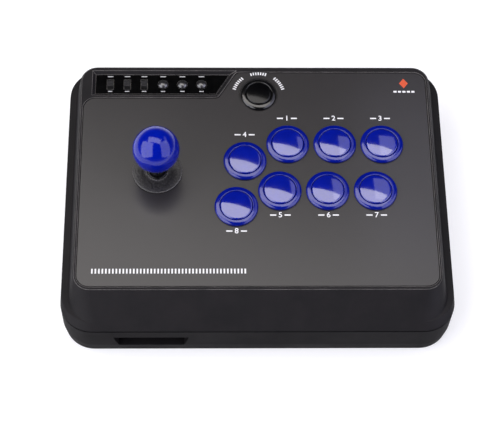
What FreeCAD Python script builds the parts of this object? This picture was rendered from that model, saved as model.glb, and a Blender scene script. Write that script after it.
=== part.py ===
"""Arcade joystick panel: a ball-top lever, eight play buttons and a start button in a desk-top case.

The origin is the middle of the footprint on the surface that the feet stand on. X runs along the
case, Y from the player's side to the back, and Z up. All sizes are millimetres.
"""
import FreeCAD, Part
import math
import os
import Sketcher

DIMENSIONS = [
    # overall case
    ("case_width", 290.6), ("case_depth", 224.0), ("case_corner", 24.0),
    ("foot_height", 2.0), ("foot_radius", 9.0), ("foot_inset_side", 36.0), ("foot_inset_end", 30.5),
    ("tuck_height", 10.5), ("tuck_inset", 1.2), ("seam_height", 36.0), ("seam_gap", 1.2), ("seam_depth", 1.2),
    ("panel_height", 54.0), ("rim_lift", 0.2), ("rim_bevel", 1.0), ("wall", 2.8), ("deck_thickness", 3.0),
    # top outline and the slopes under it
    ("rim_width", 271.4), ("rim_front", 86.4), ("rim_back", 106.0), ("rim_corner", 12.0),
    ("brow_width", 281.4), ("brow_back", 109.5), ("ledge_rise", 4.0), ("ledge_taper", 0.6),
    # panel inlay
    ("inlay_thickness", 2.0), ("inlay_width", 265.4), ("inlay_front", 83.6), ("inlay_back", 100.5),
    ("inlay_corner", 9.0), ("groove", 0.7), ("notch_front", 77.0), ("notch_end", 28.6), ("notch_lean", 0.61),
    # function strip
    ("strip_left", 124.3), ("strip_right", 30.9), ("strip_front", 82.4), ("strip_back", 99.9),
    ("strip_depth", 2.0), ("strip_bevel", 2.6), ("bezel_thickness", 1.2), ("strip_controls", 91.0),
    ("slider_first", 113.0), ("slider_pitch", 13.2), ("knob_width", 4.8), ("knob_length", 4.6),
    ("knob_travel", 4.0), ("key_first", 71.9), ("key_pitch", 15.0), ("key_radius", 3.75), ("key_travel", 0.8),
    # play buttons
    ("button_hole", 15.1), ("button_rim", 16.4), ("rim_rise", 3.0), ("plunger_radius", 12.05),
    ("plunger_rise", 3.4), ("plunger_dome", 1.1), ("dome_radius", 66.0), ("button_travel", 2.5),
    ("button_depth", 20.5), ("button_pitch", 36.0), ("row_pitch", 40.5), ("row_shift", 6.8),
    ("back_row", 35.4), ("back_row_first", 24.0), ("thumb_drop", 14.7), ("thumb_step", 32.75),
    ("thumb_lift", 1.3),
    ("start_across", 2.5), ("start_back", 80.3), ("start_hole", 12.1), ("start_rim", 13.9),
    ("start_plunger", 9.8), ("start_sink", 0.8), ("start_sink_radius", 15.2),
    # joystick
    ("stick_left", 75.0), ("stick_back", 11.6), ("ball_radius", 17.5), ("ball_centre", 87.7),
    ("pivot_height", 37.5), ("pivot_ball", 8.0), ("cup_radius", 11.0), ("cup_half", 4.6),
    ("shaft_radius", 4.0), ("cover_radius", 5.5), ("panel_opening", 12.0),
    ("washer_height", 55.15), ("washer_radius", 18.75),
    ("washer_thickness", 0.8), ("bush_outer", 7.3), ("bush_inner", 5.9), ("bush_length", 2.4),
    ("plate_thickness", 1.6), ("tower_wall", 3.7), ("housing_width", 56.0), ("housing_flange", 3.0),
    ("post_inset", 6.0), ("gate_bottom", 7.0), ("gate_thickness", 2.5), ("gate_opening", 22.0),
    ("board_thickness", 1.6), ("actuator_radius", 6.0), ("actuator_flange", 9.5), ("flange_height", 19.5),
    ("flange_thickness", 1.5), ("seat_bottom", 27.0), ("seat_thickness", 3.4), ("spring_wire", 0.55),
    # front port
    ("bay_left", 106.4), ("bay_right", 50.9), ("bay_bottom", 12.0), ("bay_top", 25.5), ("bay_depth", 9.0),
    ("bay_lean", 3.5), ("bay_wall", 2.4), ("port_width", 13.2), ("port_height", 5.8), ("port_length", 14.0),
    # hardware and clearances
    ("base_thickness", 1.4), ("flange_lip", 15.0), ("base_inset", 6.0), ("screw_radius", 1.5),
    ("screw_head", 2.8), ("head_height", 1.6), ("boss_radius", 4.5), ("pilot_radius", 1.55),
    ("post_foot", 2.6), ("post_screw", 17.0), ("post_drilling", 18.0), ("base_screw", 4.6),
    ("standoff_height", 7.6), ("standoff_radius", 3.0), ("fit", 0.3), ("slip", 0.05),
    ("gland_height", 22.0), ("gland_radius", 5.0), ("gland_flange", 6.6), ("gland_collar", 6.2),
    ("gland_bore", 1.9), ("gland_recess", 1.2),
    # small screws and boards
    ("small_screw", 1.15), ("small_head", 2.4), ("small_pilot", 1.2), ("small_hole", 1.4),
    ("strip_screw_row", 8.2), ("strip_screw_left", 5.0), ("strip_screw_right", 6.0),
    ("strip_board_drop", 4.2),
    ("main_left", 18.0), ("main_right", 104.0), ("main_front", 72.0), ("main_back", 28.0),
    ("main_margin", 4.0), ("header_pitch", 12.0), ("header_size", 4.0), ("chip_size", 6.0),
]

doc = FreeCAD.newDocument("arcade_joystick_panel")


class Size:
    """A length that carries its value and the spreadsheet expression that gives it."""

    def __init__(self, value, text):
        self.value = value
        self.text = text

    def __add__(self, other):
        return Size(self.value + value(other), f"({self.text} + {text(other)})")

    def __radd__(self, other):
        return Size(value(other) + self.value, f"({text(other)} + {self.text})")

    def __sub__(self, other):
        return Size(self.value - value(other), f"({self.text} - {text(other)})")

    def __rsub__(self, other):
        return Size(value(other) - self.value, f"({text(other)} - {self.text})")

    def __mul__(self, other):
        return Size(self.value * value(other), f"({self.text} * {text(other)})")

    def __rmul__(self, other):
        return self * other

    def __truediv__(self, other):
        return Size(self.value / value(other), f"({self.text} / {text(other)})")

    def __neg__(self):
        return Size(-self.value, f"(0 - {self.text})")

    def root(self):
        """The square root of this value."""
        return Size(math.sqrt(self.value), f"sqrt({self.text})")


def value(size):
    """The number behind a Size or a plain number."""
    return size.value if isinstance(size, Size) else float(size)


def text(size):
    """The expression behind a Size or a plain number."""
    return size.text if isinstance(size, Size) else f"({float(size)})"


def fixed(number):
    """A Size for a length that has no name in the sheet."""
    return Size(float(number), f"({float(number)})")


def make_sheet():
    """Put the driving dimensions in a spreadsheet and return them as named Sizes."""
    sheet = doc.addObject("Spreadsheet::Sheet", "Sizes")
    sizes = {}
    for row, (name, number) in enumerate(DIMENSIONS, start=1):
        sheet.set(f"A{row}", name)
        sheet.set(f"B{row}", str(number))
        sheet.setAlias(f"B{row}", name)
        sizes[name] = Size(number, f"Sizes.{name}")
    doc.recompute()
    return type("Dimensions", (), sizes)


d = make_sheet()


# ---- building blocks ---------------------------------------------------------------------------

def place(item, x=0, y=0, z=0):
    """Put an object's own origin at a point bound to the sheet."""
    for axis, size in zip("xyz", (x, y, z)):
        item.setExpression("Placement.Base." + axis, text(size))
    return item


def box(name, x, y, z):
    """A block between three pairs of low and high planes."""
    item = doc.addObject("Part::Box", name)
    for side, (low, high) in zip(("Length", "Width", "Height"), (x, y, z)):
        item.setExpression(side, text(high - low))
    return place(item, x[0], y[0], z[0])


def cylinder(name, radius, at, z):
    """An upright cylinder about the point at, between two heights."""
    item = doc.addObject("Part::Cylinder", name)
    item.setExpression("Radius", text(radius))
    item.setExpression("Height", text(z[1] - z[0]))
    return place(item, at[0], at[1], z[0])


def rod_along_y(name, radius, x, z, y):
    """A cylinder that lies along Y between two depths."""
    item = cylinder(name, radius, (0, 0), y)
    item.Placement = FreeCAD.Placement(FreeCAD.Vector(), FreeCAD.Rotation(FreeCAD.Vector(1, 0, 0), -90))
    return place(item, x, y[0], z)


def sphere(name, radius, at, z):
    """A ball about a point."""
    item = doc.addObject("Part::Sphere", name)
    item.setExpression("Radius", text(radius))
    return place(item, at[0], at[1], z)


def fuse(name, items):
    """One solid from several that touch or overlap."""
    item = doc.addObject("Part::MultiFuse", name)
    item.Shapes = items
    item.Refine = True
    return item


def cut(name, base, tools):
    """The base with every tool taken away."""
    item = doc.addObject("Part::Cut", name)
    item.Base = base
    item.Tool = tools[0] if len(tools) == 1 else fuse(name + "_tools", tools)
    return item


def common(name, first, second):
    """What two solids share."""
    item = doc.addObject("Part::Common", name)
    item.Base = first
    item.Tool = second
    return item


def group(name, items):
    """Separate solids kept together as one sub-part."""
    item = doc.addObject("Part::Compound", name)
    item.Links = items
    return item


def new_sketch(body, name, plane, height):
    """A sketch on one of the body's own origin planes, lifted along the plane's normal."""
    sketch = body.newObject("Sketcher::SketchObject", name)
    origin_plane = next(item for item in body.Origin.OriginFeatures if item.Role == plane)
    sketch.AttachmentSupport = (origin_plane, [""])
    sketch.MapMode = "FlatFace"
    sketch.setExpression("AttachmentOffset.Base.z", text(height))
    return sketch


def pin(sketch, kind, geometry, vertex, name, size):
    """Hold one coordinate of a sketch point, or a radius, to a bound size."""
    if kind == "Radius":
        index = sketch.addConstraint(Sketcher.Constraint(kind, geometry, value(size)))
    else:
        index = sketch.addConstraint(Sketcher.Constraint(kind, -1, 1, geometry, vertex, value(size)))
    sketch.renameConstraint(index, name)
    sketch.setExpression("Constraints." + name, text(size))


def rounded_outline(body, name, x, y, height, radius):
    """A rounded rectangle between low and high X and Y, drawn at a height."""
    sketch = new_sketch(body, name, "XY_Plane", height)
    corners = [(x[1], y[1], 1, 1), (x[0], y[1], -1, 1), (x[0], y[0], -1, -1), (x[1], y[0], 1, -1)]
    centres = [(cx - radius * sx, cy - radius * sy) for cx, cy, sx, sy in corners]
    reach = value(radius)
    for number, (cx, cy) in enumerate(centres):
        circle = Part.Circle(FreeCAD.Vector(value(cx), value(cy)), FreeCAD.Vector(0, 0, 1), reach)
        start = number * math.pi / 2
        sketch.addGeometry(Part.ArcOfCircle(circle, start, start + math.pi / 2))
    for number in range(4):
        here, there = centres[number], centres[(number + 1) % 4]
        turn = (number + 1) * math.pi / 2
        offset = FreeCAD.Vector(reach * math.cos(turn), reach * math.sin(turn))
        ends = [FreeCAD.Vector(value(cx), value(cy)) + offset for cx, cy in (here, there)]
        sketch.addGeometry(Part.LineSegment(*ends))
    for number in range(4):
        sketch.addConstraint(Sketcher.Constraint("Tangent", number, 2, 4 + number, 1))
        sketch.addConstraint(Sketcher.Constraint("Tangent", 4 + number, 2, (number + 1) % 4, 1))
    for number, (cx, cy) in enumerate(centres):
        pin(sketch, "DistanceX", number, 3, f"centre_x{number}", cx)
        pin(sketch, "DistanceY", number, 3, f"centre_y{number}", cy)
        pin(sketch, "Radius", number, 0, f"corner{number}", radius)
    return sketch


def polygon(body, name, points, plane, height=0):
    """A closed outline of straight lines whose corners are bound to the sheet."""
    sketch = new_sketch(body, name, plane, height)
    places = [FreeCAD.Vector(value(a), value(b)) for a, b in points]
    for number, start in enumerate(places):
        sketch.addGeometry(Part.LineSegment(start, places[(number + 1) % len(places)]))
    for number in range(len(places)):
        after = (number + 1) % len(places)
        sketch.addConstraint(Sketcher.Constraint("Coincident", number, 2, after, 1))
    for number, (a, b) in enumerate(points):
        if isinstance(a, Size):
            pin(sketch, "DistanceX", number, 1, f"across{number}", a)
        else:
            sketch.addConstraint(Sketcher.Constraint("PointOnObject", number, 1, -2))
        pin(sketch, "DistanceY", number, 1, f"along{number}", b)
    return sketch


def pad(body, sketch, length):
    """Extrude a sketch along its plane's normal."""
    feature = body.newObject("PartDesign::Pad", body.Name + "_pad")
    feature.Profile = sketch
    feature.setExpression("Length", text(length))
    return body


def slab(name, x, y, z, radius):
    """A plate with rounded corners between low and high X, Y and Z."""
    body = doc.addObject("PartDesign::Body", name)
    return pad(body, rounded_outline(body, name + "_outline", x, y, z[0], radius), z[1] - z[0])


def tapered(name, levels):
    """A straight-sided loft through rounded rectangles, each given as X, Y, height and radius."""
    body = doc.addObject("PartDesign::Body", name)
    outlines = [rounded_outline(body, f"{name}_level{n}", *level) for n, level in enumerate(levels)]
    loft = body.newObject("PartDesign::AdditiveLoft", name + "_loft")
    loft.Profile = outlines[0]
    loft.Sections = outlines[1:]
    loft.Ruled = True
    return body


def prism(name, points, z):
    """An upright prism on a polygon of X and Y points."""
    body = doc.addObject("PartDesign::Body", name)
    return pad(body, polygon(body, name + "_outline", points, "XY_Plane", z[0]), z[1] - z[0])


def prism_along_y(name, points, y):
    """A prism along Y on a polygon of X and Z points."""
    body = doc.addObject("PartDesign::Body", name)
    pad(body, polygon(body, name + "_outline", points, "XZ_Plane"), y[1] - y[0])
    return place(body, 0, y[1], 0)


def turned(name, profile, at=(0, 0)):
    """A body of revolution about an upright line; the profile is radius and height pairs."""
    body = doc.addObject("PartDesign::Body", name)
    sketch = polygon(body, name + "_profile", profile, "XZ_Plane")
    turn = body.newObject("PartDesign::Revolution", name + "_turn")
    turn.Profile = sketch
    turn.ReferenceAxis = (sketch, ["V_Axis"])
    turn.Angle = 360
    return place(body, at[0], at[1], 0)


def soften(body, radius, chosen):
    """Fillet the edges of a body's last feature for which chosen is true."""
    doc.recompute()
    tip = body.Tip
    names = [f"Edge{n}" for n, edge in enumerate(tip.Shape.Edges, start=1) if chosen(edge)]
    feature = body.newObject("PartDesign::Fillet", body.Name + "_soft")
    feature.Base = (tip, names)
    feature.setExpression("Radius", text(radius))
    return body


def upright_at(points):
    """A test for edges that run straight up at one of the given points."""
    def chosen(edge):
        low, high = edge.Vertexes[0].Point, edge.Vertexes[-1].Point
        if math.hypot(low.x - high.x, low.y - high.y) > 0.01:
            return False
        return any(math.hypot(low.x - value(x), low.y - value(y)) < 0.01 for x, y in points)
    return chosen


def circle_at(radius, height):
    """A test for circular edges of one radius at one height."""
    def chosen(edge):
        if not isinstance(edge.Curve, Part.Circle):
            return False
        return (abs(edge.Curve.Radius - value(radius)) < 0.01
                and abs(edge.Curve.Center.z - value(height)) < 0.01)
    return chosen


# ---- shared places -----------------------------------------------------------------------------

half_width = d.case_width / 2
half_depth = d.case_depth / 2
underside = d.foot_height
base_top = underside + d.base_thickness
rim_top = d.panel_height + d.rim_lift
deck_top = d.panel_height - d.inlay_thickness
deck_bottom = deck_top - d.deck_thickness
ledge_top = d.seam_height + d.ledge_rise
slope_height = d.panel_height - d.seam_height
front_run = half_depth - d.rim_front
side_run = (d.brow_width - d.rim_width) / 2
back_run = d.brow_back - d.rim_back
stick = (-d.stick_left, d.stick_back)

PLAY_BUTTONS = [(d.back_row_first + column * d.button_pitch, d.back_row) for column in range(3)]
PLAY_BUTTONS.append((d.back_row_first - d.thumb_step, d.back_row - d.thumb_drop))
PLAY_BUTTONS += [(x - d.row_shift, y - d.row_pitch) for x, y in PLAY_BUTTONS[:3]]
PLAY_BUTTONS.append((d.back_row_first - d.thumb_step - d.row_shift,
                     d.back_row - d.thumb_drop - d.row_pitch + d.thumb_lift))
START = (d.start_across, d.start_back)
SLIDERS = [(-d.slider_first + number * d.slider_pitch, d.strip_controls) for number in range(3)]
KEYS = [(-d.key_first + number * d.key_pitch, d.strip_controls) for number in range(3)]
post_side = half_width - d.tuck_inset - d.flange_lip - d.boss_radius - d.fit
post_end = half_depth - d.tuck_inset - d.flange_lip - d.boss_radius - d.fit
POSTS = [(-post_side, -d.inlay_front + 6), (fixed(0), -d.inlay_front + 6),
         (post_side, -d.inlay_front + 6), (-post_side, d.notch_front - 14.5),
         (post_side, post_end - d.case_corner / 2), (d.start_across + 38, post_end)]
STRIP_SCREWS = [(-d.strip_left + d.strip_screw_left, d.strip_controls - d.strip_screw_row),
                (-d.strip_right - d.strip_screw_right, d.strip_controls - d.strip_screw_row)]
BOARD_SCREWS = [(x, y) for x in (d.main_left + d.main_margin, d.main_right - d.main_margin)
                for y in (-d.main_front + d.main_margin, -d.main_back - d.main_margin)]
strip_floor = d.panel_height - d.strip_depth
strip_board_top = deck_bottom - d.strip_board_drop


def outline_at(height, inset, front_inset):
    """The sloping upper case's X and Y limits at a height, moved inwards by a wall."""
    share = (d.panel_height - height) / slope_height
    reach = d.rim_width / 2 + side_run * share - inset
    front = -d.rim_front - front_run * share + front_inset
    back = d.rim_back + back_run * share - inset
    return (-reach, reach), (front, back)


def inlay_points(grow):
    """The panel inlay's outline, moved outwards by grow."""
    reach = d.inlay_width / 2 + grow
    lean = (1 + d.notch_lean * d.notch_lean).root()
    step = grow * (d.notch_lean - lean)
    rise = d.inlay_back - d.notch_front
    return [(-reach, -d.inlay_front - grow), (reach, -d.inlay_front - grow), (reach, d.inlay_back + grow),
            (-d.notch_end + d.notch_lean * rise + step, d.inlay_back + grow),
            (-d.notch_end + step, d.notch_front + grow), (-reach, d.notch_front + grow)]


def inlay_solid(name, grow, z):
    """A prism on the inlay's outline with its outer corners rounded."""
    points = inlay_points(grow)
    body = prism(name, points, z)
    soften(body, d.inlay_corner + grow, upright_at([points[0], points[1], points[2], points[5]]))
    return soften(body, d.inlay_corner / 2, upright_at([points[3], points[4]]))


def strip_points(grow):
    """The function strip's outline with its slanted right-hand end, moved outwards by grow."""
    lean = d.notch_lean * (d.strip_back - d.strip_front + 2 * grow)
    right = -d.strip_right + grow
    return [(-d.strip_left - grow, d.strip_front - grow), (right, d.strip_front - grow),
            (right + lean, d.strip_back + grow), (-d.strip_left - grow, d.strip_back + grow)]


# ---- case --------------------------------------------------------------------------------------

def make_top_shell():
    """The upper moulding: sloping brow, side ledges, deck, screw posts and all its openings."""
    seam_x, seam_y = outline_at(d.seam_height, 0, 0)
    edge_x, edge_y = outline_at(rim_top - d.rim_bevel, 0, 0)
    bevel_x = (edge_x[0] + d.rim_bevel, edge_x[1] - d.rim_bevel)
    bevel_y = (edge_y[0] + d.rim_bevel, edge_y[1] - d.rim_bevel)
    brow = tapered("brow", [(seam_x, seam_y, d.seam_height, d.case_corner),
                            (edge_x, edge_y, rim_top - d.rim_bevel, d.rim_corner + d.rim_bevel),
                            (bevel_x, bevel_y, rim_top, d.rim_corner)])
    ledge_front = outline_at(ledge_top, 0, 0)[1][0]
    ledge_x = (-half_width + d.ledge_taper, half_width - d.ledge_taper)
    ledge = tapered("ledge", [((-half_width, half_width), (-half_depth, half_depth), d.seam_height,
                               d.case_corner),
                              (ledge_x, (ledge_front, half_depth - d.ledge_taper), ledge_top, d.case_corner)])
    low_x, low_y = outline_at(d.seam_height, d.wall, d.wall * 1.3)
    high_x, high_y = outline_at(deck_bottom, d.wall, d.wall * 1.3)
    hollow = tapered("upper_hollow", [(low_x, low_y, d.seam_height, d.case_corner - d.wall),
                                      (high_x, high_y, deck_bottom, d.rim_corner - d.wall / 2)])
    body = cut("upper_moulding", fuse("brow_and_ledge", [brow, ledge]), [hollow])
    posts = [cylinder("screw_post", d.boss_radius, at, (base_top + d.post_foot, deck_bottom + 1))
             for at in POSTS]
    strip_posts = [cylinder("strip_post", d.standoff_radius, at, (strip_board_top, deck_bottom + 1))
                   for at in STRIP_SCREWS]
    tools = [inlay_solid("inlay_pocket", d.groove, (deck_top, rim_top + 1))]
    tools += [cylinder("play_hole", d.button_hole, at, (deck_bottom - 1, rim_top + 1)) for at in PLAY_BUTTONS]
    tools.append(cylinder("start_hole", d.start_hole, START, (deck_bottom - 1, rim_top + 1)))
    tools.append(cylinder("lever_hole", d.panel_opening, stick, (deck_bottom - 1, rim_top + 1)))
    tools.append(strip_recess())
    tools.append(prism("bezel_pocket", strip_points(d.fit), (strip_floor - d.bezel_thickness, rim_top)))
    for x, y in SLIDERS:
        tools.append(box("slider_slot", (x - d.knob_width / 2 - d.fit, x + d.knob_width / 2 + d.fit),
                         knob_slot(y), (deck_bottom - 1, rim_top)))
    tools += [cylinder("key_hole", d.key_radius + d.fit, at, (deck_bottom - 1, rim_top)) for at in KEYS]
    pilots = [cylinder("post_pilot", d.pilot_radius, at, (base_top, base_top + d.post_drilling))
              for at in POSTS]
    pilots += [cylinder("strip_pilot", d.small_pilot, at, (strip_board_top - 0.8, deck_bottom + 0.6))
               for at in STRIP_SCREWS]
    pilots += [cylinder("lever_pilot", d.pilot_radius, at, (deck_bottom - 1, deck_top - 0.4))
               for at in plate_screws()]
    return cut("top_shell", fuse("shell_with_posts", [body] + posts + strip_posts), tools + pilots)


def strip_recess():
    """The bevelled recess that the function strip lies in."""
    body = doc.addObject("PartDesign::Body", "strip_recess")
    low = polygon(body, "recess_floor", strip_points(d.fit), "XY_Plane", strip_floor - 0.01)
    high = polygon(body, "recess_mouth", strip_points(d.strip_bevel + 1), "XY_Plane", rim_top + 1)
    loft = body.newObject("PartDesign::AdditiveLoft", "recess_loft")
    loft.Profile = low
    loft.Sections = [high]
    loft.Ruled = True
    return body


def knob_slot(y):
    """The low and high Y of the slot that a slider's knob travels in."""
    reach = (d.knob_length + d.knob_travel) / 2 + d.fit
    return (y - reach, y + reach)


def plate_screws():
    """Where the four screws of the joystick's mounting plate go."""
    return [(stick[0] + sx * (d.housing_width / 2 + 8), stick[1] + sy * (d.housing_width / 2 - 8))
            for sx in (-1, 1) for sy in (-1, 1)]


def base_screws():
    """Where the base plate is screwed to the lower moulding."""
    side = half_width - d.tuck_inset - d.base_inset - 4
    end = half_depth - d.tuck_inset - d.base_inset - 4
    places = [(sx * side, sy * (end - 14)) for sx in (-1, 1) for sy in (-1, 0, 1)]
    return places + [(sx * side / 2, sy * end) for sx in (-1, 1) for sy in (-1, 1)]


def make_bottom_shell():
    """The lower moulding: tucked-in foot edge, shadow gap under the seam, front bay and rear gland hole."""
    full_x, full_y = (-half_width, half_width), (-half_depth, half_depth)
    tuck_x = (-half_width + d.tuck_inset, half_width - d.tuck_inset)
    tuck_y = (-half_depth + d.tuck_inset, half_depth - d.tuck_inset)
    knee = underside + d.tuck_height
    gap = d.seam_height - d.seam_gap
    skirt = tapered("skirt", [(tuck_x, tuck_y, underside, d.case_corner - d.tuck_inset),
                              (full_x, full_y, knee, d.case_corner), (full_x, full_y, gap, d.case_corner)])
    lip_x = (-half_width + d.seam_depth, half_width - d.seam_depth)
    lip_y = (-half_depth + d.seam_depth, half_depth - d.seam_depth)
    lip = slab("seam_lip", lip_x, lip_y, (gap - 1, d.seam_height), d.case_corner - d.seam_depth)
    room_x, room_y = (-half_width + d.wall, half_width - d.wall), (-half_depth + d.wall, half_depth - d.wall)
    room = slab("lower_room", room_x, room_y, (knee - 2, d.seam_height + 1), d.case_corner - d.wall)
    bay_box = box("bay_box", (-d.bay_left - d.bay_wall, -d.bay_right + d.bay_wall),
                  (-half_depth + 0.5, -half_depth + d.bay_depth + d.bay_wall),
                  (d.bay_bottom - d.bay_wall, d.bay_top + d.bay_wall))
    body = fuse("lower_with_bay", [cut("lower_walls", fuse("skirt_and_lip", [skirt, lip]), [room]), bay_box])
    window = slab("base_window", inset_pair(tuck_x, d.flange_lip), inset_pair(tuck_y, d.flange_lip),
                  (underside - 1, knee), d.case_corner - d.flange_lip)
    seat_inset = d.base_inset - d.fit
    seat = slab("base_seat", inset_pair(tuck_x, seat_inset), inset_pair(tuck_y, seat_inset),
                (underside - 1, base_top), d.case_corner - d.tuck_inset - d.base_inset)
    bay_points = [(-d.bay_left + d.bay_lean, d.bay_bottom), (-d.bay_right - d.bay_lean, d.bay_bottom),
                  (-d.bay_right, d.bay_top), (-d.bay_left, d.bay_top)]
    bay = prism_along_y("bay_hollow", bay_points, (-half_depth - 1, -half_depth + d.bay_depth))
    port_x, port_z = port_frame()
    port = box("port_hole", port_x, (-half_depth, -half_depth + d.bay_depth + d.bay_wall + 1), port_z)
    hole = rod_along_y("gland_hole", d.gland_radius + d.slip, 0, d.gland_height,
                       (half_depth - d.wall - 1, half_depth + 1))
    sink = rod_along_y("gland_sink", d.gland_flange + 0.2, 0, d.gland_height,
                       (half_depth - d.gland_recess, half_depth + 1))
    tools = [window, seat, bay, port, hole, sink]
    tools += [cylinder("base_pilot", d.pilot_radius, at, (underside, base_top + 5)) for at in base_screws()]
    return cut("bottom_shell", body, tools)


def inset_pair(pair, inset):
    """A pair of low and high planes moved towards each other."""
    return (pair[0] + inset, pair[1] - inset)


def port_frame():
    """X and Z limits of the hole that the front socket fills."""
    middle = -(d.bay_left + d.bay_right) / 2
    level = (d.bay_top + d.bay_bottom) / 2 + 1
    return ((middle - d.port_width / 2 - d.slip, middle + d.port_width / 2 + d.slip),
            (level - d.port_height / 2 - d.slip, level + d.port_height / 2 + d.slip))


def make_base_plate():
    """The flat steel base with the studs that carry the main board."""
    tuck_x = (-half_width + d.tuck_inset, half_width - d.tuck_inset)
    tuck_y = (-half_depth + d.tuck_inset, half_depth - d.tuck_inset)
    sheet = slab("base_sheet", inset_pair(tuck_x, d.base_inset), inset_pair(tuck_y, d.base_inset),
                 (underside, base_top), d.case_corner - d.tuck_inset - d.base_inset)
    studs = [cylinder("board_stud", d.standoff_radius, at, (underside, base_top + d.standoff_height))
             for at in BOARD_SCREWS]
    tools = [cylinder("base_hole", d.screw_radius + 0.2, at, (underside - 1, base_top + 1))
             for at in base_screws() + POSTS]
    tools += [cylinder("stud_pilot", d.small_pilot, at, (base_top + 2, base_top + d.standoff_height + 1))
              for at in BOARD_SCREWS]
    return cut("base_plate", fuse("base_with_studs", [sheet] + studs), tools)


def make_feet():
    """Four rubber feet with a chamfered lower edge."""
    places = [(sx * (half_width - d.foot_inset_side), sy * (half_depth - d.foot_inset_end))
              for sx in (-1, 1) for sy in (-1, 1)]
    radius = d.foot_radius
    profile = [(0, fixed(0)), (radius - 0.8, fixed(0)), (radius, fixed(0.8)), (radius, underside),
               (0, underside)]
    return group("rubber_feet", [turned("rubber_foot", profile, at) for at in places])


def screw(name, at, seat, length, radius, head, up=True):
    """A pan-head screw whose head stands under the seat plane and whose shank runs up from it."""
    sign = 1 if up else -1
    rise = d.head_height
    profile = [(0, seat - sign * rise), (head - 0.5, seat - sign * rise), (head, seat - sign * rise * 0.6),
               (head, seat), (radius, seat), (radius, seat + sign * length), (0, seat + sign * length)]
    return turned(name, profile, at)


def make_case_screws():
    """Long screws that pull the base up against the posts of the upper moulding."""
    length = d.post_screw + d.base_thickness
    return group("case_screws", [screw("case_screw", at, underside, length, d.screw_radius, d.screw_head)
                                 for at in POSTS])


def make_base_screws():
    """Short screws round the edge of the base plate."""
    return group("base_plate_screws", [screw("base_screw", at, underside, d.base_screw + d.base_thickness,
                                             d.screw_radius, d.screw_head) for at in base_screws()])


def make_inlay():
    """The printed panel sheet with holes for the lever and the buttons."""
    sheet = inlay_solid("inlay_sheet", fixed(0), (deck_top, d.panel_height))
    tools = [cylinder("inlay_hole", d.button_hole, at, (deck_top - 1, rim_top)) for at in PLAY_BUTTONS]
    tools.append(cylinder("inlay_start", d.start_hole, START, (deck_top - 1, rim_top)))
    tools.append(cylinder("start_sink", d.start_sink_radius, START, (d.panel_height - d.start_sink, rim_top)))
    tools.append(cylinder("inlay_lever", d.panel_opening, stick, (deck_top - 1, rim_top)))
    return cut("panel_inlay", sheet, tools)


def make_bezel():
    """The glossy function strip with its slots and key holes."""
    sheet = prism("bezel_sheet", strip_points(fixed(0)), (strip_floor - d.bezel_thickness, strip_floor))
    tools = [box("bezel_slot", (x - d.knob_width / 2 - d.fit, x + d.knob_width / 2 + d.fit), knob_slot(y),
                 (deck_bottom, rim_top)) for x, y in SLIDERS]
    tools += [cylinder("bezel_hole", d.key_radius + d.fit, at, (deck_bottom, rim_top)) for at in KEYS]
    return cut("function_bezel", sheet, tools)


# ---- function strip works ----------------------------------------------------------------------

def make_function_board():
    """The small board under the function strip."""
    x = (-d.strip_left + 1, -d.strip_right - 2)
    y = (d.strip_controls - 11, d.strip_back + 1)
    sheet = slab("strip_board", x, y, (strip_board_top - d.board_thickness, strip_board_top), fixed(1.5))
    tools = [cylinder("strip_board_hole", d.small_hole, at, (strip_board_top - 3, deck_bottom))
             for at in STRIP_SCREWS]
    return cut("function_board", sheet, tools)


def make_slide_switches():
    """Metal cans of the three slide switches."""
    return group("slide_switches", [box("slide_can", (x - 3.2, x + 3.2), (y - 6.5, y + 6.5),
                                        (strip_board_top, deck_bottom - 0.5)) for x, y in SLIDERS])


def make_tact_switches():
    """Three push switches under the round keys."""
    return group("tact_switches", [box("tact", (x - 3, x + 3), (y - 3, y + 3),
                                       (strip_board_top, strip_board_top + 1.8)) for x, y in KEYS])


def make_knob(number, at):
    """A slider knob: a square stem with three grip ridges across its top."""
    x, y = at
    half_x, half_y = d.knob_width / 2, d.knob_length / 2
    top = strip_floor + 1.0
    stem = box("knob_stem", (x - half_x, x + half_x), (y - half_y, y + half_y), (deck_bottom - 0.2, top))
    ridge = d.knob_length / 7
    starts = [y - half_y + ridge * step for step in (0, 2, 4, 6)]
    ridges = [box("knob_ridge", (x - half_x, x + half_x), (start, start + ridge), (top - 0.1, top + 0.6))
              for start in starts]
    return fuse(f"slide_knob_{number}", [stem] + ridges)


def make_key(number, at):
    """A round domed key."""
    x, y = at
    radius = d.key_radius
    low = strip_board_top + 1.8 + d.key_travel + 0.2
    ball_centre = strip_floor + 2.0 - radius * 1.6
    stem = cylinder("key_stem", radius, at, (low, strip_floor + 2.0))
    dome = sphere("key_dome", radius * 1.6, at, ball_centre)
    column = cylinder("key_column", radius + 1, at, (low - 1, ball_centre))
    return common(f"function_button_{number}", stem, fuse("key_rounding", [dome, column]))


# ---- play buttons ------------------------------------------------------------------------------

def make_rim(name, at, hole, rim, plunger, seat):
    """A snap-in button body: rounded flange above the panel, barrel, clips and a floor with a hole."""
    bore = plunger + d.fit
    top = seat + d.rim_rise
    floor = d.panel_height - d.button_depth
    barrel = hole - 0.15
    profile = [(bore, top), (rim, top), (rim, seat), (barrel, seat), (barrel, floor), (fixed(4.5), floor),
               (fixed(4.5), floor + 1.5), (bore, floor + 1.5)]
    body = turned(name + "_barrel", profile, at)
    soften(body, d.rim_rise * 0.62, circle_at(rim, top))
    soften(body, d.rim_rise * 0.25, circle_at(bore, top))
    x, y = at
    middles = [x + side * (barrel - 0.5) for side in (-1, 1)]
    clips = [box("clip", (middle - 0.9, middle + 0.9), (y - 2.5, y + 2.5),
                 (deck_bottom - 3.4, deck_bottom - 0.1)) for middle in middles]
    keep_out = cylinder("clip_bore", bore, at, (deck_bottom - 5, deck_bottom + 1))
    return fuse(name, [body, cut("clips", fuse("clip_pair", clips), [keep_out])])


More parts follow.
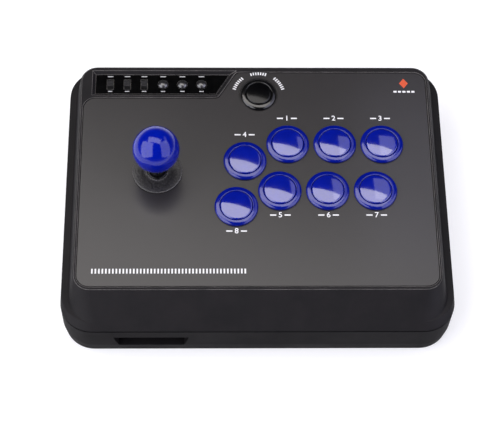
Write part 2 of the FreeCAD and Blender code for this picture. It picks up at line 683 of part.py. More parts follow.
def make_plunger(name, at, radius, top, dome, ball):
    """A hollow domed button cap with the post that works its switch."""
    floor = d.panel_height - d.button_depth
    post = floor + d.button_travel
    edge = top - dome
    skirt = edge - 12
    column = turned(name + "_cap", [(0, post), (fixed(3), post), (fixed(3), edge - 2.5),
                                    (radius - 1.5, edge - 2.5), (radius - 1.5, skirt), (radius, skirt),
                                    (radius, top), (0, top)], at)
    dome_ball = sphere(name + "_dome", ball, at, top - ball)
    under = cylinder(name + "_under", radius + 1, at, (post - 1, top - dome * 2))
    return common(name, column, fuse(name + "_rounding", [dome_ball, under]))


def make_button_switches():
    """Snap switches clipped under the floors of the nine button bodies."""
    floor = d.panel_height - d.button_depth
    pieces = []
    for x, y in PLAY_BUTTONS + [START]:
        case = box("switch_case", (x - 5, x + 5), (y - 3.2, y + 3.2), (floor - 7.0, floor - 0.1))
        tabs = [box("switch_tab", (x + side * 3 - 0.3, x + side * 3 + 0.3), (y - 1.4, y + 1.4),
                    (floor - 11.5, floor - 6.5)) for side in (-1, 1)]
        pieces.append(fuse("button_switch", [case] + tabs))
    return group("button_switches", pieces)


# ---- joystick ----------------------------------------------------------------------------------

def square(half):
    """X and Y limits of a square about the stick."""
    return (stick[0] - half, stick[0] + half), (stick[1] - half, stick[1] + half)


plate_bottom = deck_bottom - d.plate_thickness
socket_radius = d.cup_radius + d.fit
gate_top = d.gate_bottom + d.gate_thickness
board_top = gate_top + d.board_thickness


def corner_posts():
    """Where the joystick housing's four legs stand."""
    reach = d.housing_width / 2 - d.post_inset
    return [(stick[0] + sx * reach, stick[1] + sy * reach) for sx in (-1, 1) for sy in (-1, 1)]


def make_joystick_plate():
    """The steel mounting plate screwed under the deck."""
    x = (stick[0] - d.housing_width / 2 - 14, stick[0] + d.housing_width / 2 + 14)
    y = square(d.housing_width / 2)[1]
    sheet = slab("plate_sheet", x, y, (plate_bottom, deck_bottom), fixed(4.0))
    tools = [cylinder("plate_opening", d.panel_opening - 1, stick, (plate_bottom - 1, deck_bottom + 1))]
    tools += [cylinder("plate_hole", d.screw_radius + 0.2, at, (plate_bottom - 1, deck_bottom + 1))
              for at in plate_screws()]
    return cut("joystick_plate", sheet, tools)


def make_joystick_housing():
    """The moulded housing: flange, tower with the ball socket, and four legs."""
    half_x, half_y = square(d.housing_width / 2)
    flange = slab("housing_flange_plate", half_x, half_y, (plate_bottom - d.housing_flange, plate_bottom),
                  fixed(5.0))
    tower = cylinder("tower", socket_radius + d.tower_wall, stick, (d.seat_bottom - 2, plate_bottom - 1))
    legs = [cylinder("leg", 4.0, at, (board_top, plate_bottom - 1)) for at in corner_posts()]
    bore = cylinder("housing_bore", socket_radius, stick,
                    (d.pivot_height - socket_radius - 2, d.pivot_height))
    socket = sphere("socket", socket_radius, stick, d.pivot_height)
    mouth = cylinder("housing_mouth", d.cup_radius * 0.84, stick, (d.pivot_height, plate_bottom + 1))
    pilots = [cylinder("leg_pilot", d.small_pilot, at, (board_top - 1, board_top + 6))
              for at in corner_posts()]
    solid = fuse("housing_solid", [flange, tower] + legs)
    return cut("joystick_housing", solid, [bore, socket, mouth] + pilots)


def make_bearing_cup():
    """The split liner that the pivot ball turns in."""
    band = cylinder("cup_band", d.cup_radius + 1, stick,
                    (d.pivot_height - d.cup_half, d.pivot_height + d.cup_half))
    ball = sphere("cup_ball", d.cup_radius, stick, d.pivot_height)
    return cut("bearing_cup", common("cup_blank", ball, band),
               [sphere("cup_hollow", d.pivot_ball + d.fit, stick, d.pivot_height)])


def make_pivot_ball():
    """The nylon ball that the lever's shaft turns in."""
    half = d.pivot_ball * 0.81
    band = cylinder("ball_band", d.pivot_ball + 1, stick, (d.pivot_height - half, d.pivot_height + half))
    ball = sphere("pivot_sphere", d.pivot_ball, stick, d.pivot_height)
    bore = cylinder("pivot_bore", d.shaft_radius + d.slip, stick, (d.pivot_height - 10, d.pivot_height + 10))
    return cut("pivot_ball", common("pivot_blank", ball, band), [bore])


shoulder = d.pivot_height + d.pivot_ball * 0.81 + d.slip
shaft_end = d.gate_bottom - 0.4
ball_bottom = d.ball_centre - d.ball_radius


def make_shaft():
    """The steel lever shaft: clip groove, shoulder over the pivot ball and the stud for the ball top."""
    radius = d.shaft_radius
    neck = radius - 0.8
    stud = radius - 1
    clip_low = shaft_end + 0.8
    collar, collar_top = radius + 1.2, shoulder + 0.9
    profile = [(0, shaft_end), (radius, shaft_end), (radius, clip_low), (neck, clip_low),
               (neck, clip_low + 0.9), (radius, clip_low + 0.9), (radius, shoulder), (collar, shoulder),
               (collar, collar_top), (radius, collar_top), (radius, ball_bottom - 0.1),
               (stud, ball_bottom - 0.1), (stud, d.ball_centre - 8), (0, d.ball_centre - 8)]
    return turned("shaft", profile, stick)


def make_ball_top():
    """The ball that the hand holds, with the socket for the stud."""
    ball = sphere("grip_ball", d.ball_radius, stick, d.ball_centre)
    socket = cylinder("stud_socket", d.shaft_radius - 1 + d.slip, stick,
                      (ball_bottom - 1, d.ball_centre - 7.8))
    return cut("ball_top", ball, [socket])


def make_shaft_cover():
    """The tube over the shaft between the pivot and the ball."""
    low, high = shoulder + 0.9, ball_bottom + 0.3
    inner, outer = d.shaft_radius + d.slip, d.cover_radius
    return turned("shaft_cover", [(inner, low), (outer, low), (outer, high), (inner, high)], stick)


def make_actuator():
    """The sleeve on the shaft's lower end that pushes the switches, with the spring's flange."""
    inner, outer = d.shaft_radius + d.slip, d.actuator_radius
    low = shaft_end + 1.8
    top = d.flange_height + d.flange_thickness
    profile = [(inner, low), (outer, low), (outer, d.flange_height), (d.actuator_flange, d.flange_height),
               (d.actuator_flange, top), (inner, top)]
    return turned("actuator", profile, stick)


def make_shaft_clip():
    """The retaining ring in the groove of the shaft."""
    low = shaft_end + 0.85
    inner, outer = d.shaft_radius - 0.75, d.shaft_radius + 1
    ring = turned("clip_ring", [(inner, low), (outer, low), (outer, low + 0.8), (inner, low + 0.8)], stick)
    slot = box("clip_slot", (stick[0], stick[0] + 10), (stick[1] - 1.6, stick[1] + 1.6), (low - 1, low + 2))
    return cut("shaft_clip", ring, [slot])


def make_spring_seat():
    """The ring at the foot of the tower that the centring spring pushes on."""
    outer = socket_radius - 0.1
    inner = d.shaft_radius + 3.2
    low, high = d.seat_bottom, d.seat_bottom + d.seat_thickness
    return turned("spring_seat", [(inner, low), (outer, low), (outer, high), (inner, high)], stick)


def make_spring():
    """The centring spring between the actuator's flange and the spring seat."""
    wire = d.spring_wire
    low = d.flange_height + d.flange_thickness + wire + d.slip
    high = d.seat_bottom - wire - d.slip
    radius = d.shaft_radius + 4.2
    helix = doc.addObject("Part::Helix", "spring_line")
    helix.setExpression("Pitch", text((high - low) / 3.5))
    helix.setExpression("Height", text(high - low))
    helix.setExpression("Radius", text(radius))
    place(helix, stick[0], stick[1], low)
    section = doc.addObject("Part::Circle", "spring_section")
    section.setExpression("Radius", text(wire))
    section.Placement = FreeCAD.Placement(FreeCAD.Vector(), FreeCAD.Rotation(FreeCAD.Vector(1, 0, 0), 90))
    place(section, stick[0] + radius, stick[1], low)
    doc.recompute()
    coil = doc.addObject("Part::Sweep", "centring_spring")
    coil.Sections = [section]
    coil.Spine = (helix, [f"Edge{n + 1}" for n in range(len(helix.Shape.Edges))])
    coil.Solid = True
    coil.Frenet = True
    return coil


def make_gate():
    """The square restrictor gate under the switch board."""
    half_x, half_y = square(d.housing_width / 2)
    sheet = slab("gate_sheet", half_x, half_y, (d.gate_bottom, gate_top), fixed(5.0))
    tools = [gate_window("gate_window")]
    tools += [cylinder("gate_hole", d.small_hole, at, (d.gate_bottom - 1, gate_top + 1))
              for at in corner_posts()]
    return cut("restrictor_gate", sheet, tools)


def gate_window(name):
    """The square opening that stops the actuator."""
    x, y = square(d.gate_opening / 2)
    return slab(name, x, y, (d.gate_bottom - 1, board_top + 1), fixed(2.0))


def make_switch_board():
    """The circuit board that carries the four lever switches."""
    half_x, half_y = square(d.housing_width / 2)
    sheet = slab("switch_sheet", half_x, half_y, (gate_top, board_top), fixed(5.0))
    tools = [gate_window("board_window")]
    tools += [cylinder("switch_board_hole", d.small_hole, at, (gate_top - 1, board_top + 1))
              for at in corner_posts()]
    return cut("stick_switch_board", sheet, tools)


def make_stick_switches():
    """Four snap switches round the actuator, each with its lever pressed flat."""
    reach = d.gate_opening / 2 + 0.2
    pieces = []
    for sx, sy in ((1, 0), (-1, 0), (0, 1), (0, -1)):
        depth = (6.4, 13.0) if sx else (13.0, 6.4)
        centre = (stick[0] + sx * (reach + 3.2), stick[1] + sy * (reach + 3.2))
        pieces.append(box("lever_switch", (centre[0] - depth[0] / 2, centre[0] + depth[0] / 2),
                          (centre[1] - depth[1] / 2, centre[1] + depth[1] / 2), (board_top, board_top + 6.0)))
    return group("stick_switches", pieces)


def make_stick_connector():
    """The five-pin connector at the edge of the switch board."""
    y = stick[1] + d.housing_width / 2
    shell = box("plug_shell", (stick[0] - 6.5, stick[0] + 6.5), (y - 6.5, y - 0.5),
                (board_top, board_top + 6.5))
    mouth = box("plug_mouth", (stick[0] - 5.5, stick[0] + 5.5), (y - 5.5, y - 1.5),
                (board_top + 1.5, board_top + 8))
    pins = [box("plug_pin", (stick[0] + step * 2 - 0.3, stick[0] + step * 2 + 0.3), (y - 3.8, y - 3.2),
                (board_top + 1, board_top + 5)) for step in range(-2, 3)]
    return fuse("stick_connector", [cut("plug_body", shell, [mouth])] + pins)


def make_joystick_screws():
    """Four screws of the mounting plate and four that hold gate and board to the legs."""
    plate = [screw("plate_screw", at, plate_bottom, d.plate_thickness + 2.2, d.screw_radius, d.screw_head)
             for at in plate_screws()]
    leg_length = d.gate_thickness + d.board_thickness + 4.5
    legs = [screw("leg_screw", at, d.gate_bottom, leg_length, d.small_screw, d.small_head)
            for at in corner_posts()]
    return group("joystick_screws", plate + legs)


def make_washer():
    """The thin dust washer that slides over the panel with the lever."""
    low = d.washer_height - d.washer_thickness / 2
    high = d.washer_height + d.washer_thickness / 2
    inner = d.bush_outer + 0.4
    profile = [(inner, low), (d.washer_radius, low), (d.washer_radius, high), (inner, high)]
    return turned("dust_washer", profile, stick)


def make_bush():
    """The ring between the dust washer and the shaft cover."""
    low, high = d.washer_height - d.bush_length / 2, d.washer_height + d.bush_length / 2
    return turned("washer_bush", [(d.bush_inner, low), (d.bush_outer, low), (d.bush_outer, high),
                                  (d.bush_inner, high)], stick)


# ---- boards and sockets ------------------------------------------------------------------------

def make_main_board():
    """The main circuit board with its chip and wire headers."""
    low = base_top + d.standoff_height
    top = low + d.board_thickness
    sheet = slab("main_sheet", (d.main_left, d.main_right), (-d.main_front, -d.main_back), (low, top),
                 fixed(2.0))
    middle = (d.main_left + d.main_right) / 2
    centre = -(d.main_front + d.main_back) / 2
    chip = d.chip_size
    parts = [box("chip", (middle - chip, middle + chip), (centre - chip, centre + chip), (top, top + 1.6))]
    headers_back = -d.main_back - d.header_size
    for step in (-2, -1, 1, 2):
        x = middle + d.header_pitch * step
        parts.append(box("header", (x - d.header_size, x + d.header_size), (headers_back - 5, headers_back),
                         (top, top + 5)))
    tools = [cylinder("main_hole", d.small_hole, at, (low - 1, top + 1)) for at in BOARD_SCREWS]
    return cut("main_board", fuse("main_populated", [sheet] + parts), tools)


def make_board_screws():
    """Screws of the main board and of the function board."""
    top = base_top + d.standoff_height + d.board_thickness
    main = [screw("board_screw", at, top, fixed(5), d.small_screw, d.small_head, up=False)
            for at in BOARD_SCREWS]
    strip = [screw("strip_screw", at, strip_board_top - d.board_thickness, fixed(5.4), d.small_screw,
                   d.small_head) for at in STRIP_SCREWS]
    return group("board_screws", main + strip)


def port_rear():
    """How far back the front socket reaches."""
    return -half_depth + d.bay_depth + d.port_length


def make_port_shell():
    """The folded steel shell of the front socket."""
    x, z = port_frame()
    x, z = inset_pair(x, d.slip), inset_pair(z, d.slip)
    front = -half_depth + d.bay_depth
    outer = box("socket_outer", x, (front, port_rear()), z)
    inner = box("socket_inner", inset_pair(x, 0.35), (front - 1, port_rear() - 0.4), inset_pair(z, 0.35))
    return cut("front_port_shell", outer, [inner])


def make_port_tongue():
    """The plastic tongue inside the front socket."""
    x, z = port_frame()
    front = -half_depth + d.bay_depth
    back = box("tongue_block", inset_pair(x, 0.5), (port_rear() - 5, port_rear() - 0.45), inset_pair(z, 0.5))
    blade = box("tongue_blade", inset_pair(x, 1.1), (front + 1, port_rear() - 4), (z[1] - 2.6, z[1] - 0.8))
    return fuse("front_port_tongue", [back, blade])


def make_port_board():
    """The small board under the front socket."""
    x, z = port_frame()
    wide = inset_pair(x, -8.0)
    back = -half_depth + d.bay_depth + d.bay_wall
    face = z[0] + d.slip
    return slab("front_port_board", wide, (back + 0.2, back + 22), (face - d.board_thickness, face),
                fixed(1.0))


def make_gland():
    """The rubber bush in the back wall that a lead would leave through."""
    outside, inside = half_depth - 0.1, half_depth - d.wall
    body = rod_along_y("gland_body", d.gland_radius, 0, d.gland_height, (inside - 3, outside))
    flange = rod_along_y("gland_flange", d.gland_flange, 0, d.gland_height,
                         (half_depth - d.gland_recess + d.slip, outside))
    collar = rod_along_y("gland_collar", d.gland_collar, 0, d.gland_height, (inside - 2.6, inside - 0.1))
    bore = rod_along_y("gland_bore", d.gland_bore, 0, d.gland_height, (inside - 8, half_depth + 1))
    return cut("cable_gland", fuse("gland_blank", [body, flange, collar]), [bore])


# ---- assembly ----------------------------------------------------------------------------------

def build():
    """Build every sub-part and return them in the order of assembly."""
    parts = [make_top_shell(), make_bottom_shell(), make_base_plate(), make_feet(), make_case_screws(),
             make_base_screws(), make_inlay(), make_bezel(), make_function_board(), make_slide_switches(),
             make_tact_switches(), make_main_board(), make_board_screws(), make_port_shell(),
             make_port_tongue(), make_port_board(), make_gland(), make_joystick_plate(),
             make_joystick_housing(), make_bearing_cup(), make_pivot_ball(), make_shaft(), make_ball_top(),
             make_shaft_cover(), make_actuator(), make_shaft_clip(), make_spring_seat(), make_spring(),
             make_gate(), make_switch_board(), make_stick_switches(), make_stick_connector(),
             make_joystick_screws(), make_washer(), make_bush(), make_button_switches()]
    parts += [make_knob(number, at) for number, at in enumerate(SLIDERS, start=1)]
    parts += [make_key(number, at) for number, at in enumerate(KEYS, start=1)]
    cap_top = d.panel_height + d.plunger_rise + d.plunger_dome
    for number, at in enumerate(PLAY_BUTTONS, start=1):
        parts.append(make_rim(f"button_rim_{number}", at, d.button_hole, d.button_rim, d.plunger_radius,
                              d.panel_height))
        parts.append(make_plunger(f"button_plunger_{number}", at, d.plunger_radius, cap_top, d.plunger_dome,
                                  d.dome_radius))
    sunk = d.panel_height - d.start_sink
    parts.append(make_rim("start_rim", START, d.start_hole, d.start_rim, d.start_plunger, sunk))
    parts.append(make_plunger("start_plunger", START, d.start_plunger, sunk + d.plunger_rise + 0.8,
                              fixed(0.8), d.dome_radius * 0.9))
    return parts


def main():
    """Build, check and export the model."""
    parts = build()
    doc.recompute()
    faults = [item.Name for item in doc.Objects if {"Invalid", "Error"} & set(item.State)]
    for part in parts:
        shape = part.Shape
        if shape.isNull() or not shape.isValid() or not shape.Solids:
            faults.append("shape of " + part.Name)
        part.Label = part.Name
    if faults:
        raise RuntimeError("failed: " + ", ".join(faults))
    os.makedirs("parts", exist_ok=True)
    for part in parts:
        part.Shape.exportStep(os.path.join("parts", part.Label + ".step"))
    print(len(parts), "sub-parts written")


main()
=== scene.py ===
"""Visual model of a desk-top arcade joystick panel, dressed on its CAD frame.

The frame gives the pieces' places and outer sizes. The other sizes are millimetres and are turned to
metres where a mesh is made, except in the studio, which is in metres. Each sub-assembly is a class that
builds its pieces and gives them finishes.
"""
import logging
import math
from dataclasses import dataclass, field
from enum import Enum
from typing import Any, Iterable

import bmesh
import bpy
from mathutils import Matrix, Vector


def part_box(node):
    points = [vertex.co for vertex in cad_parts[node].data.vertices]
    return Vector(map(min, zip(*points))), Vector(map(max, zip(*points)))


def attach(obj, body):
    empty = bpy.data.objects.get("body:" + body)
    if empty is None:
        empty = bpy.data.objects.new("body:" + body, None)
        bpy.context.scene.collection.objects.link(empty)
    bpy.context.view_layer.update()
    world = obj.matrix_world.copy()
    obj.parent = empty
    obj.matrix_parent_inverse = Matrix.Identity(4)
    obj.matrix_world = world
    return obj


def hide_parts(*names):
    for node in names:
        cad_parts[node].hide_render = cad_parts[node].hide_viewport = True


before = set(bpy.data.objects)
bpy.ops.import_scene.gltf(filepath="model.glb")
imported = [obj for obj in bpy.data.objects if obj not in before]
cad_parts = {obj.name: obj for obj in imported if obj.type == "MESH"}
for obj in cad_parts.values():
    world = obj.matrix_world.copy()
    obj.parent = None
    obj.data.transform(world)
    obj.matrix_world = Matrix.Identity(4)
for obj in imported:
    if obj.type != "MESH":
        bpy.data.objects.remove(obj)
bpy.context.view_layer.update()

MM = 0.001
PLAY_BUTTONS = range(1, 9)
STRIP_CONTROLS = range(1, 4)
LOG = logging.getLogger("joystick_panel")


# ---- nodes and finishes --------------------------------------------------------------------------

def add(tree: bpy.types.NodeTree, kind: str, values: dict[Any, Any] | None = None,
        links: dict[Any, Any] | None = None, **settings: Any) -> bpy.types.Node:
    """Adds one node to a tree.

    Args:
        tree: The node tree.
        kind: The node's type name.
        values: Values for inputs, by name or number.
        links: Output sockets that feed inputs, by input name or number.
        settings: The node's own properties.

    Returns:
        The new node.
    """
    node = tree.nodes.new(kind)
    for name, setting in settings.items():
        setattr(node, name, setting)
    for name, number in (values or {}).items():
        node.inputs[name].default_value = number
    for name, socket in (links or {}).items():
        tree.links.new(socket, node.inputs[name])
    return node


def linear(colour: str, alpha: float = 1.0) -> tuple[float, float, float, float]:
    """Turns an sRGB hex colour into linear values.

    Args:
        colour: Six hex digits, with or without a leading hash.
        alpha: The fourth value.

    Returns:
        Red, green, blue and alpha.
    """
    digits = colour.lstrip("#")
    parts = [int(digits[at:at + 2], 16) / 255 for at in (0, 2, 4)]
    red, green, blue = (p / 12.92 if p <= 0.04045 else ((p + 0.055) / 1.055) ** 2.4 for p in parts)
    return red, green, blue, alpha


class ColourMix(Enum):
    """The sockets of a mix node that mixes colours, by number."""

    SHARE = 0
    UNDER = 6
    OVER = 7
    RESULT = 2


class Surface(Enum):
    """How a surface was made, which sets the pattern of its grain."""

    ERODED = "spark eroded mould"
    POLISHED = "polished mould"
    PRINTED = "screen printed sheet"
    POWDER = "powder coat"
    DRAWN = "drawn or turned metal"
    BOARD = "etched board"


@dataclass(frozen=True)
class Finish:
    """One real material and the way its surface was made.

    The grain is a bump of grain_mm across and grain_deep_mm deep. The colour drifts between colour
    and drift over patches of patch_mm, and the roughness moves by rough_spread about rough. Edges
    are softened over edge_mm, and the edge highlight is a paler colour painted on them as a highlight,
    where they stand higher than the highlight's lowest height.
    """

    name: str
    colour: str
    drift: str
    surface: Surface
    rough: float
    rough_spread: float = 0.05
    ior: float = 1.5
    metallic: float = 0.0
    coat: float = 0.0
    coat_rough: float = 0.03
    grain_mm: float = 0.8
    grain_deep_mm: float = 0.02
    patch_mm: float = 14.0
    edge_mm: float = 0.0
    edge_shade: str = ""
    rub_above_mm: float = 0.0

    def material(self) -> bpy.types.Material:
        """Makes the material, once.

        Returns:
            The material, also where it was made before.
        """
        known = bpy.data.materials.get(self.name)
        if known:
            return known
        made = bpy.data.materials.new(self.name)
        made.use_nodes = True
        tree = made.node_tree
        tree.nodes.clear()
        place = add(tree, "ShaderNodeTexCoord").outputs["Object"]
        shader = add(tree, "ShaderNodeBsdfPrincipled", {
            "Metallic": self.metallic, "Coat Weight": self.coat, "Coat Roughness": self.coat_rough})
        if not self.metallic:
            shader.inputs["IOR"].default_value = self.ior
            shader.inputs["Coat IOR"].default_value = self.ior
        self.paint(tree, place, shader)
        self.wear(tree, place, shader)
        self.emboss(tree, place, shader)
        add(tree, "ShaderNodeOutputMaterial", links={"Surface": shader.outputs["BSDF"]})
        return made

    def per_metre(self, size_mm: float) -> float:
        """The texture scale at which one feature is size_mm across."""
        return 1 / (size_mm * MM)

    def paint(self, tree: bpy.types.NodeTree, place: Any, shader: bpy.types.Node) -> None:
        """Links the colour, which drifts between two close shades, with a painted edge highlight where set.

        Args:
            tree: The material's tree.
            place: The coordinates.
            shader: The shader that the colour goes to.
        """
        patches = add(tree, "ShaderNodeTexNoise", {
            "Scale": self.per_metre(self.patch_mm), "Detail": 5.0, "Roughness": 0.62}, {"Vector": place})
        ramp = add(tree, "ShaderNodeValToRGB", links={"Fac": patches.outputs["Fac"]})
        ramp.color_ramp.elements[0].position = 0.35
        ramp.color_ramp.elements[0].color = linear(self.colour)
        ramp.color_ramp.elements[1].position = 0.68
        ramp.color_ramp.elements[1].color = linear(self.drift)
        if not self.edge_shade:
            tree.links.new(ramp.outputs["Color"], shader.inputs["Base Color"])
            return
        # A paler colour is painted on the edges as a highlight.
        share = self.rubbing(tree, place, patches.outputs["Fac"])
        highlighted = add(tree, "ShaderNodeMix", data_type="RGBA", links={
            ColourMix.SHARE.value: share, ColourMix.UNDER.value: ramp.outputs["Color"]})
        highlighted.inputs[ColourMix.OVER.value].default_value = linear(self.edge_shade)
        tree.links.new(highlighted.outputs[ColourMix.RESULT.value], shader.inputs["Base Color"])

    def rubbing(self, tree: bpy.types.NodeTree, place: Any, patches: Any) -> Any:
        """Finds the edges that get a painted highlight, where a softened normal leaves the true one.

        Args:
            tree: The material's tree.
            place: The coordinates.
            patches: Noise that breaks the painted highlight line up a little.

        Returns:
            The socket that is 1 on a sharp edge and 0 away from edges.
        """
        soft = add(tree, "ShaderNodeBevel", {"Radius": self.edge_mm * MM}, samples=6)
        true = add(tree, "ShaderNodeNewGeometry")
        match = add(tree, "ShaderNodeVectorMath", links={
            0: soft.outputs["Normal"], 1: true.outputs["Normal"]}, operation="DOT_PRODUCT")
        edge = add(tree, "ShaderNodeMapRange", {"From Min": 0.995, "From Max": 0.93, "To Min": 0.0,
                                                "To Max": 1.0}, {"Value": match.outputs["Value"]})
        height = add(tree, "ShaderNodeSeparateXYZ", links={0: place})
        reached = add(tree, "ShaderNodeMath", {1: self.rub_above_mm * MM}, {0: height.outputs["Z"]},
                      operation="GREATER_THAN")
        high_edge = add(tree, "ShaderNodeMath", links={0: edge.outputs["Result"], 1: reached.outputs[0]},
                        operation="MULTIPLY")
        return add(tree, "ShaderNodeMath", links={0: high_edge.outputs[0], 1: patches},
                   operation="MULTIPLY").outputs[0]

    def wear(self, tree: bpy.types.NodeTree, place: Any, shader: bpy.types.Node) -> None:
        """Links the roughness, which moves a little where hands and cloths have been.

        Args:
            tree: The material's tree.
            place: The coordinates.
            shader: The shader that the roughness goes to.
        """
        handled = add(tree, "ShaderNodeTexNoise", {
            "Scale": self.per_metre(self.patch_mm * 1.7), "Detail": 3.0, "Roughness": 0.5}, {"Vector": place})
        spread = add(tree, "ShaderNodeMapRange", {
            "From Min": 0.3, "From Max": 0.7, "To Min": self.rough - self.rough_spread,
            "To Max": self.rough + self.rough_spread}, {"Value": handled.outputs["Fac"]})
        tree.links.new(spread.outputs["Result"], shader.inputs["Roughness"])

    def emboss(self, tree: bpy.types.NodeTree, place: Any, shader: bpy.types.Node) -> None:
        """Links the grain as a bump, over softened edges where the mould has them.

        Args:
            tree: The material's tree.
            place: The coordinates.
            shader: The shader that the normal goes to.
        """
        height = self.grain(tree, place)
        bump = add(tree, "ShaderNodeBump", {"Strength": 1.0, "Distance": self.grain_deep_mm * MM},
                   {"Height": height})
        if self.edge_mm:
            soft = add(tree, "ShaderNodeBevel", {"Radius": self.edge_mm * MM}, samples=4)
            tree.links.new(soft.outputs["Normal"], bump.inputs["Normal"])
        tree.links.new(bump.outputs["Normal"], shader.inputs["Normal"])

    def grain(self, tree: bpy.types.NodeTree, place: Any) -> Any:
        """Makes the height pattern of this kind of surface.

        Args:
            tree: The material's tree.
            place: The coordinates.

        Returns:
            The socket that gives the height.
        """
        scale = self.per_metre(self.grain_mm)
        if self.surface is Surface.DRAWN:
            stretched = add(tree, "ShaderNodeMapping", {"Scale": (1.0, 1.0, 0.06)}, {"Vector": place})
            lines = add(tree, "ShaderNodeTexNoise", {"Scale": scale, "Detail": 3.0},
                        {"Vector": stretched.outputs["Vector"]})
            return lines.outputs["Fac"]
        if self.surface is Surface.BOARD:
            tracks = add(tree, "ShaderNodeTexVoronoi", {"Scale": scale, "Randomness": 0.35},
                         {"Vector": place}, distance="MANHATTAN", feature="F1")
            return tracks.outputs["Distance"]
        if self.surface in (Surface.POWDER, Surface.ERODED):
            pits = add(tree, "ShaderNodeTexVoronoi", {"Scale": scale}, {"Vector": place},
                       feature="SMOOTH_F1")
            fine = add(tree, "ShaderNodeTexNoise", {"Scale": scale * 2.3, "Detail": 3.0}, {"Vector": place})
            return add(tree, "ShaderNodeMath", links={0: pits.outputs["Distance"], 1: fine.outputs["Fac"]},
                       operation="ADD").outputs[0]
        return add(tree, "ShaderNodeTexNoise", {"Scale": scale, "Detail": 4.0, "Roughness": 0.55},
                   {"Vector": place}).outputs["Fac"]


# Black ABS from a spark-eroded mould: a dull, very finely pitted black that spreads highlights wide,
# with a pale painted highlight along its upper edges.
CASE_ABS = Finish("spark_eroded_black_abs", "171617", "1C1A1B", Surface.ERODED, 0.55, 0.05,
                  ior=1.24, grain_mm=0.7, grain_deep_mm=0.035, patch_mm=18, edge_mm=0.7,
                  edge_shade="A29E9A", rub_above_mm=46)
# The same ABS with a coarser pattern and its colour painted a little darker as shade: the lower
# shell spreads the pale table's light so far that it stays dark.
CASE_LOWER_SHADED_ABS = Finish("shaded_coarse_eroded_black_abs", "151415", "1A1819", Surface.ERODED, 0.66, 0.05,
                        ior=1.15, grain_mm=1.0, grain_deep_mm=0.05, patch_mm=18, edge_mm=0.3)
# Screen-printed polycarbonate: a silky charcoal sheet that lightens where it faces the lamps.
PANEL_SHEET = Finish("satin_printed_polycarbonate", "272525", "282626", Surface.PRINTED, 0.28, 0.003,
                     ior=1.42, coat=0.3, coat_rough=0.26, grain_mm=0.55, grain_deep_mm=0.010, patch_mm=9)
# Acrylic polished in the mould: a deep black mirror, faintly hazed in patches, with a pale painted highlight
# on its edges.
STRIP_ACRYLIC = Finish("polished_black_acrylic", "040404", "080808", Surface.POLISHED, 0.07, 0.03,
                       ior=1.38, grain_mm=22, grain_deep_mm=0.02, patch_mm=5, edge_mm=0.3,
                       edge_shade="A09C98")
# Blue ABS from a polished mould: deep saturated colour under a wet-looking skin.
BUTTON_ABS = Finish("polished_blue_abs", "000F74", "00137F", Surface.POLISHED, 0.14, 0.03, ior=1.52,
                    coat=0.25, coat_rough=0.05, grain_mm=9, grain_deep_mm=0.02, patch_mm=7, edge_mm=0.15)
PLUNGER_ABS = Finish("polished_blue_abs_cap", "00107E", "00148A", Surface.POLISHED, 0.12, 0.03, ior=1.6,
                     coat=0.9, coat_rough=0.04, grain_mm=8, grain_deep_mm=0.02, patch_mm=7)
# Cast melamine ball, lacquered: a brighter blue with crisp reflections and faint flow marks.
BALL_MELAMINE = Finish("lacquered_blue_melamine", "00128A", "001796", Surface.POLISHED, 0.12, 0.03,
                       ior=1.44, coat=0.15, coat_rough=0.04, grain_mm=12, grain_deep_mm=0.02, patch_mm=10)
# Black ABS from a polished mould: near-black with sharp pale crescents on its rounded edges.
GLOSS_ABS = Finish("polished_black_abs", "080809", "0C0C0D", Surface.POLISHED, 0.13, 0.03, ior=1.52,
                   coat=0.3, grain_mm=8, grain_deep_mm=0.02, patch_mm=6, edge_mm=0.15)
# The same black ABS with a duller top and its colour painted darker as shade: the start button's cap stays
# darker than its ring.
START_CAP_SHADED_ABS = Finish("shaded_dull_polished_black_abs", "040405", "070708", Surface.POLISHED, 0.15, 0.03,
                       ior=1.36, grain_mm=8, grain_deep_mm=0.02, patch_mm=6, edge_mm=0.15)
# Black ABS, lightly blasted: the keys spread the lamp over half of each dome.
KEY_ABS = Finish("blasted_black_abs", "1C1C1D", "242425", Surface.POLISHED, 0.27, 0.03, ior=1.6,
                 coat=0.8, coat_rough=0.2, grain_mm=4, grain_deep_mm=0.01, patch_mm=3, edge_mm=0.1)
# Acetal with a dry moulded skin: dark grey knobs whose ribs catch a thin line of light.
KNOB_ACETAL = Finish("moulded_black_acetal", "18181A", "202022", Surface.ERODED, 0.42, 0.06,
                     ior=1.48, grain_mm=0.4, grain_deep_mm=0.012, patch_mm=2, edge_mm=0.12)
# Vinyl sheet with an orange-peel skin: a matt black disc whose small pale dots are painted sparkle,
# with a pale painted highlight round its edge.
WASHER_VINYL = Finish("grained_black_vinyl", "080808", "383636", Surface.ERODED, 0.40, 0.1, ior=1.53,
                      grain_mm=1.2, grain_deep_mm=0.12, patch_mm=1.5, edge_mm=0.6, edge_shade="E0DCD8")
# Extruded ABS tube: an even black with lengthwise draw lines.
TUBE_ABS = Finish("extruded_black_abs", "0C0C0D", "121213", Surface.DRAWN, 0.28, 0.05, ior=1.54,
                  grain_mm=0.5, grain_deep_mm=0.01, patch_mm=4, edge_mm=0.1)
# Powder-coated sheet steel: black with a low pebbled shine.
POWDER_STEEL = Finish("powder_coated_steel", "161617", "1D1D1E", Surface.POWDER, 0.44, 0.06, ior=1.55,
                      grain_mm=0.9, grain_deep_mm=0.04, patch_mm=25, edge_mm=0.2)
# Moulded rubber: a dusty, almost shineless black.
FOOT_RUBBER = Finish("moulded_black_rubber", "141414", "1F1F1F", Surface.ERODED, 0.82, 0.06, ior=1.52,
                     grain_mm=0.6, grain_deep_mm=0.02, patch_mm=3, edge_mm=0.2)
# Bright zinc plate: pale grey metal with a soft, slightly cloudy shine.
ZINC_PLATE = Finish("zinc_plated_steel", "A9ABAF", "BFC1C4", Surface.DRAWN, 0.34, 0.08, metallic=1.0,
                    grain_mm=0.3, grain_deep_mm=0.006, patch_mm=2)
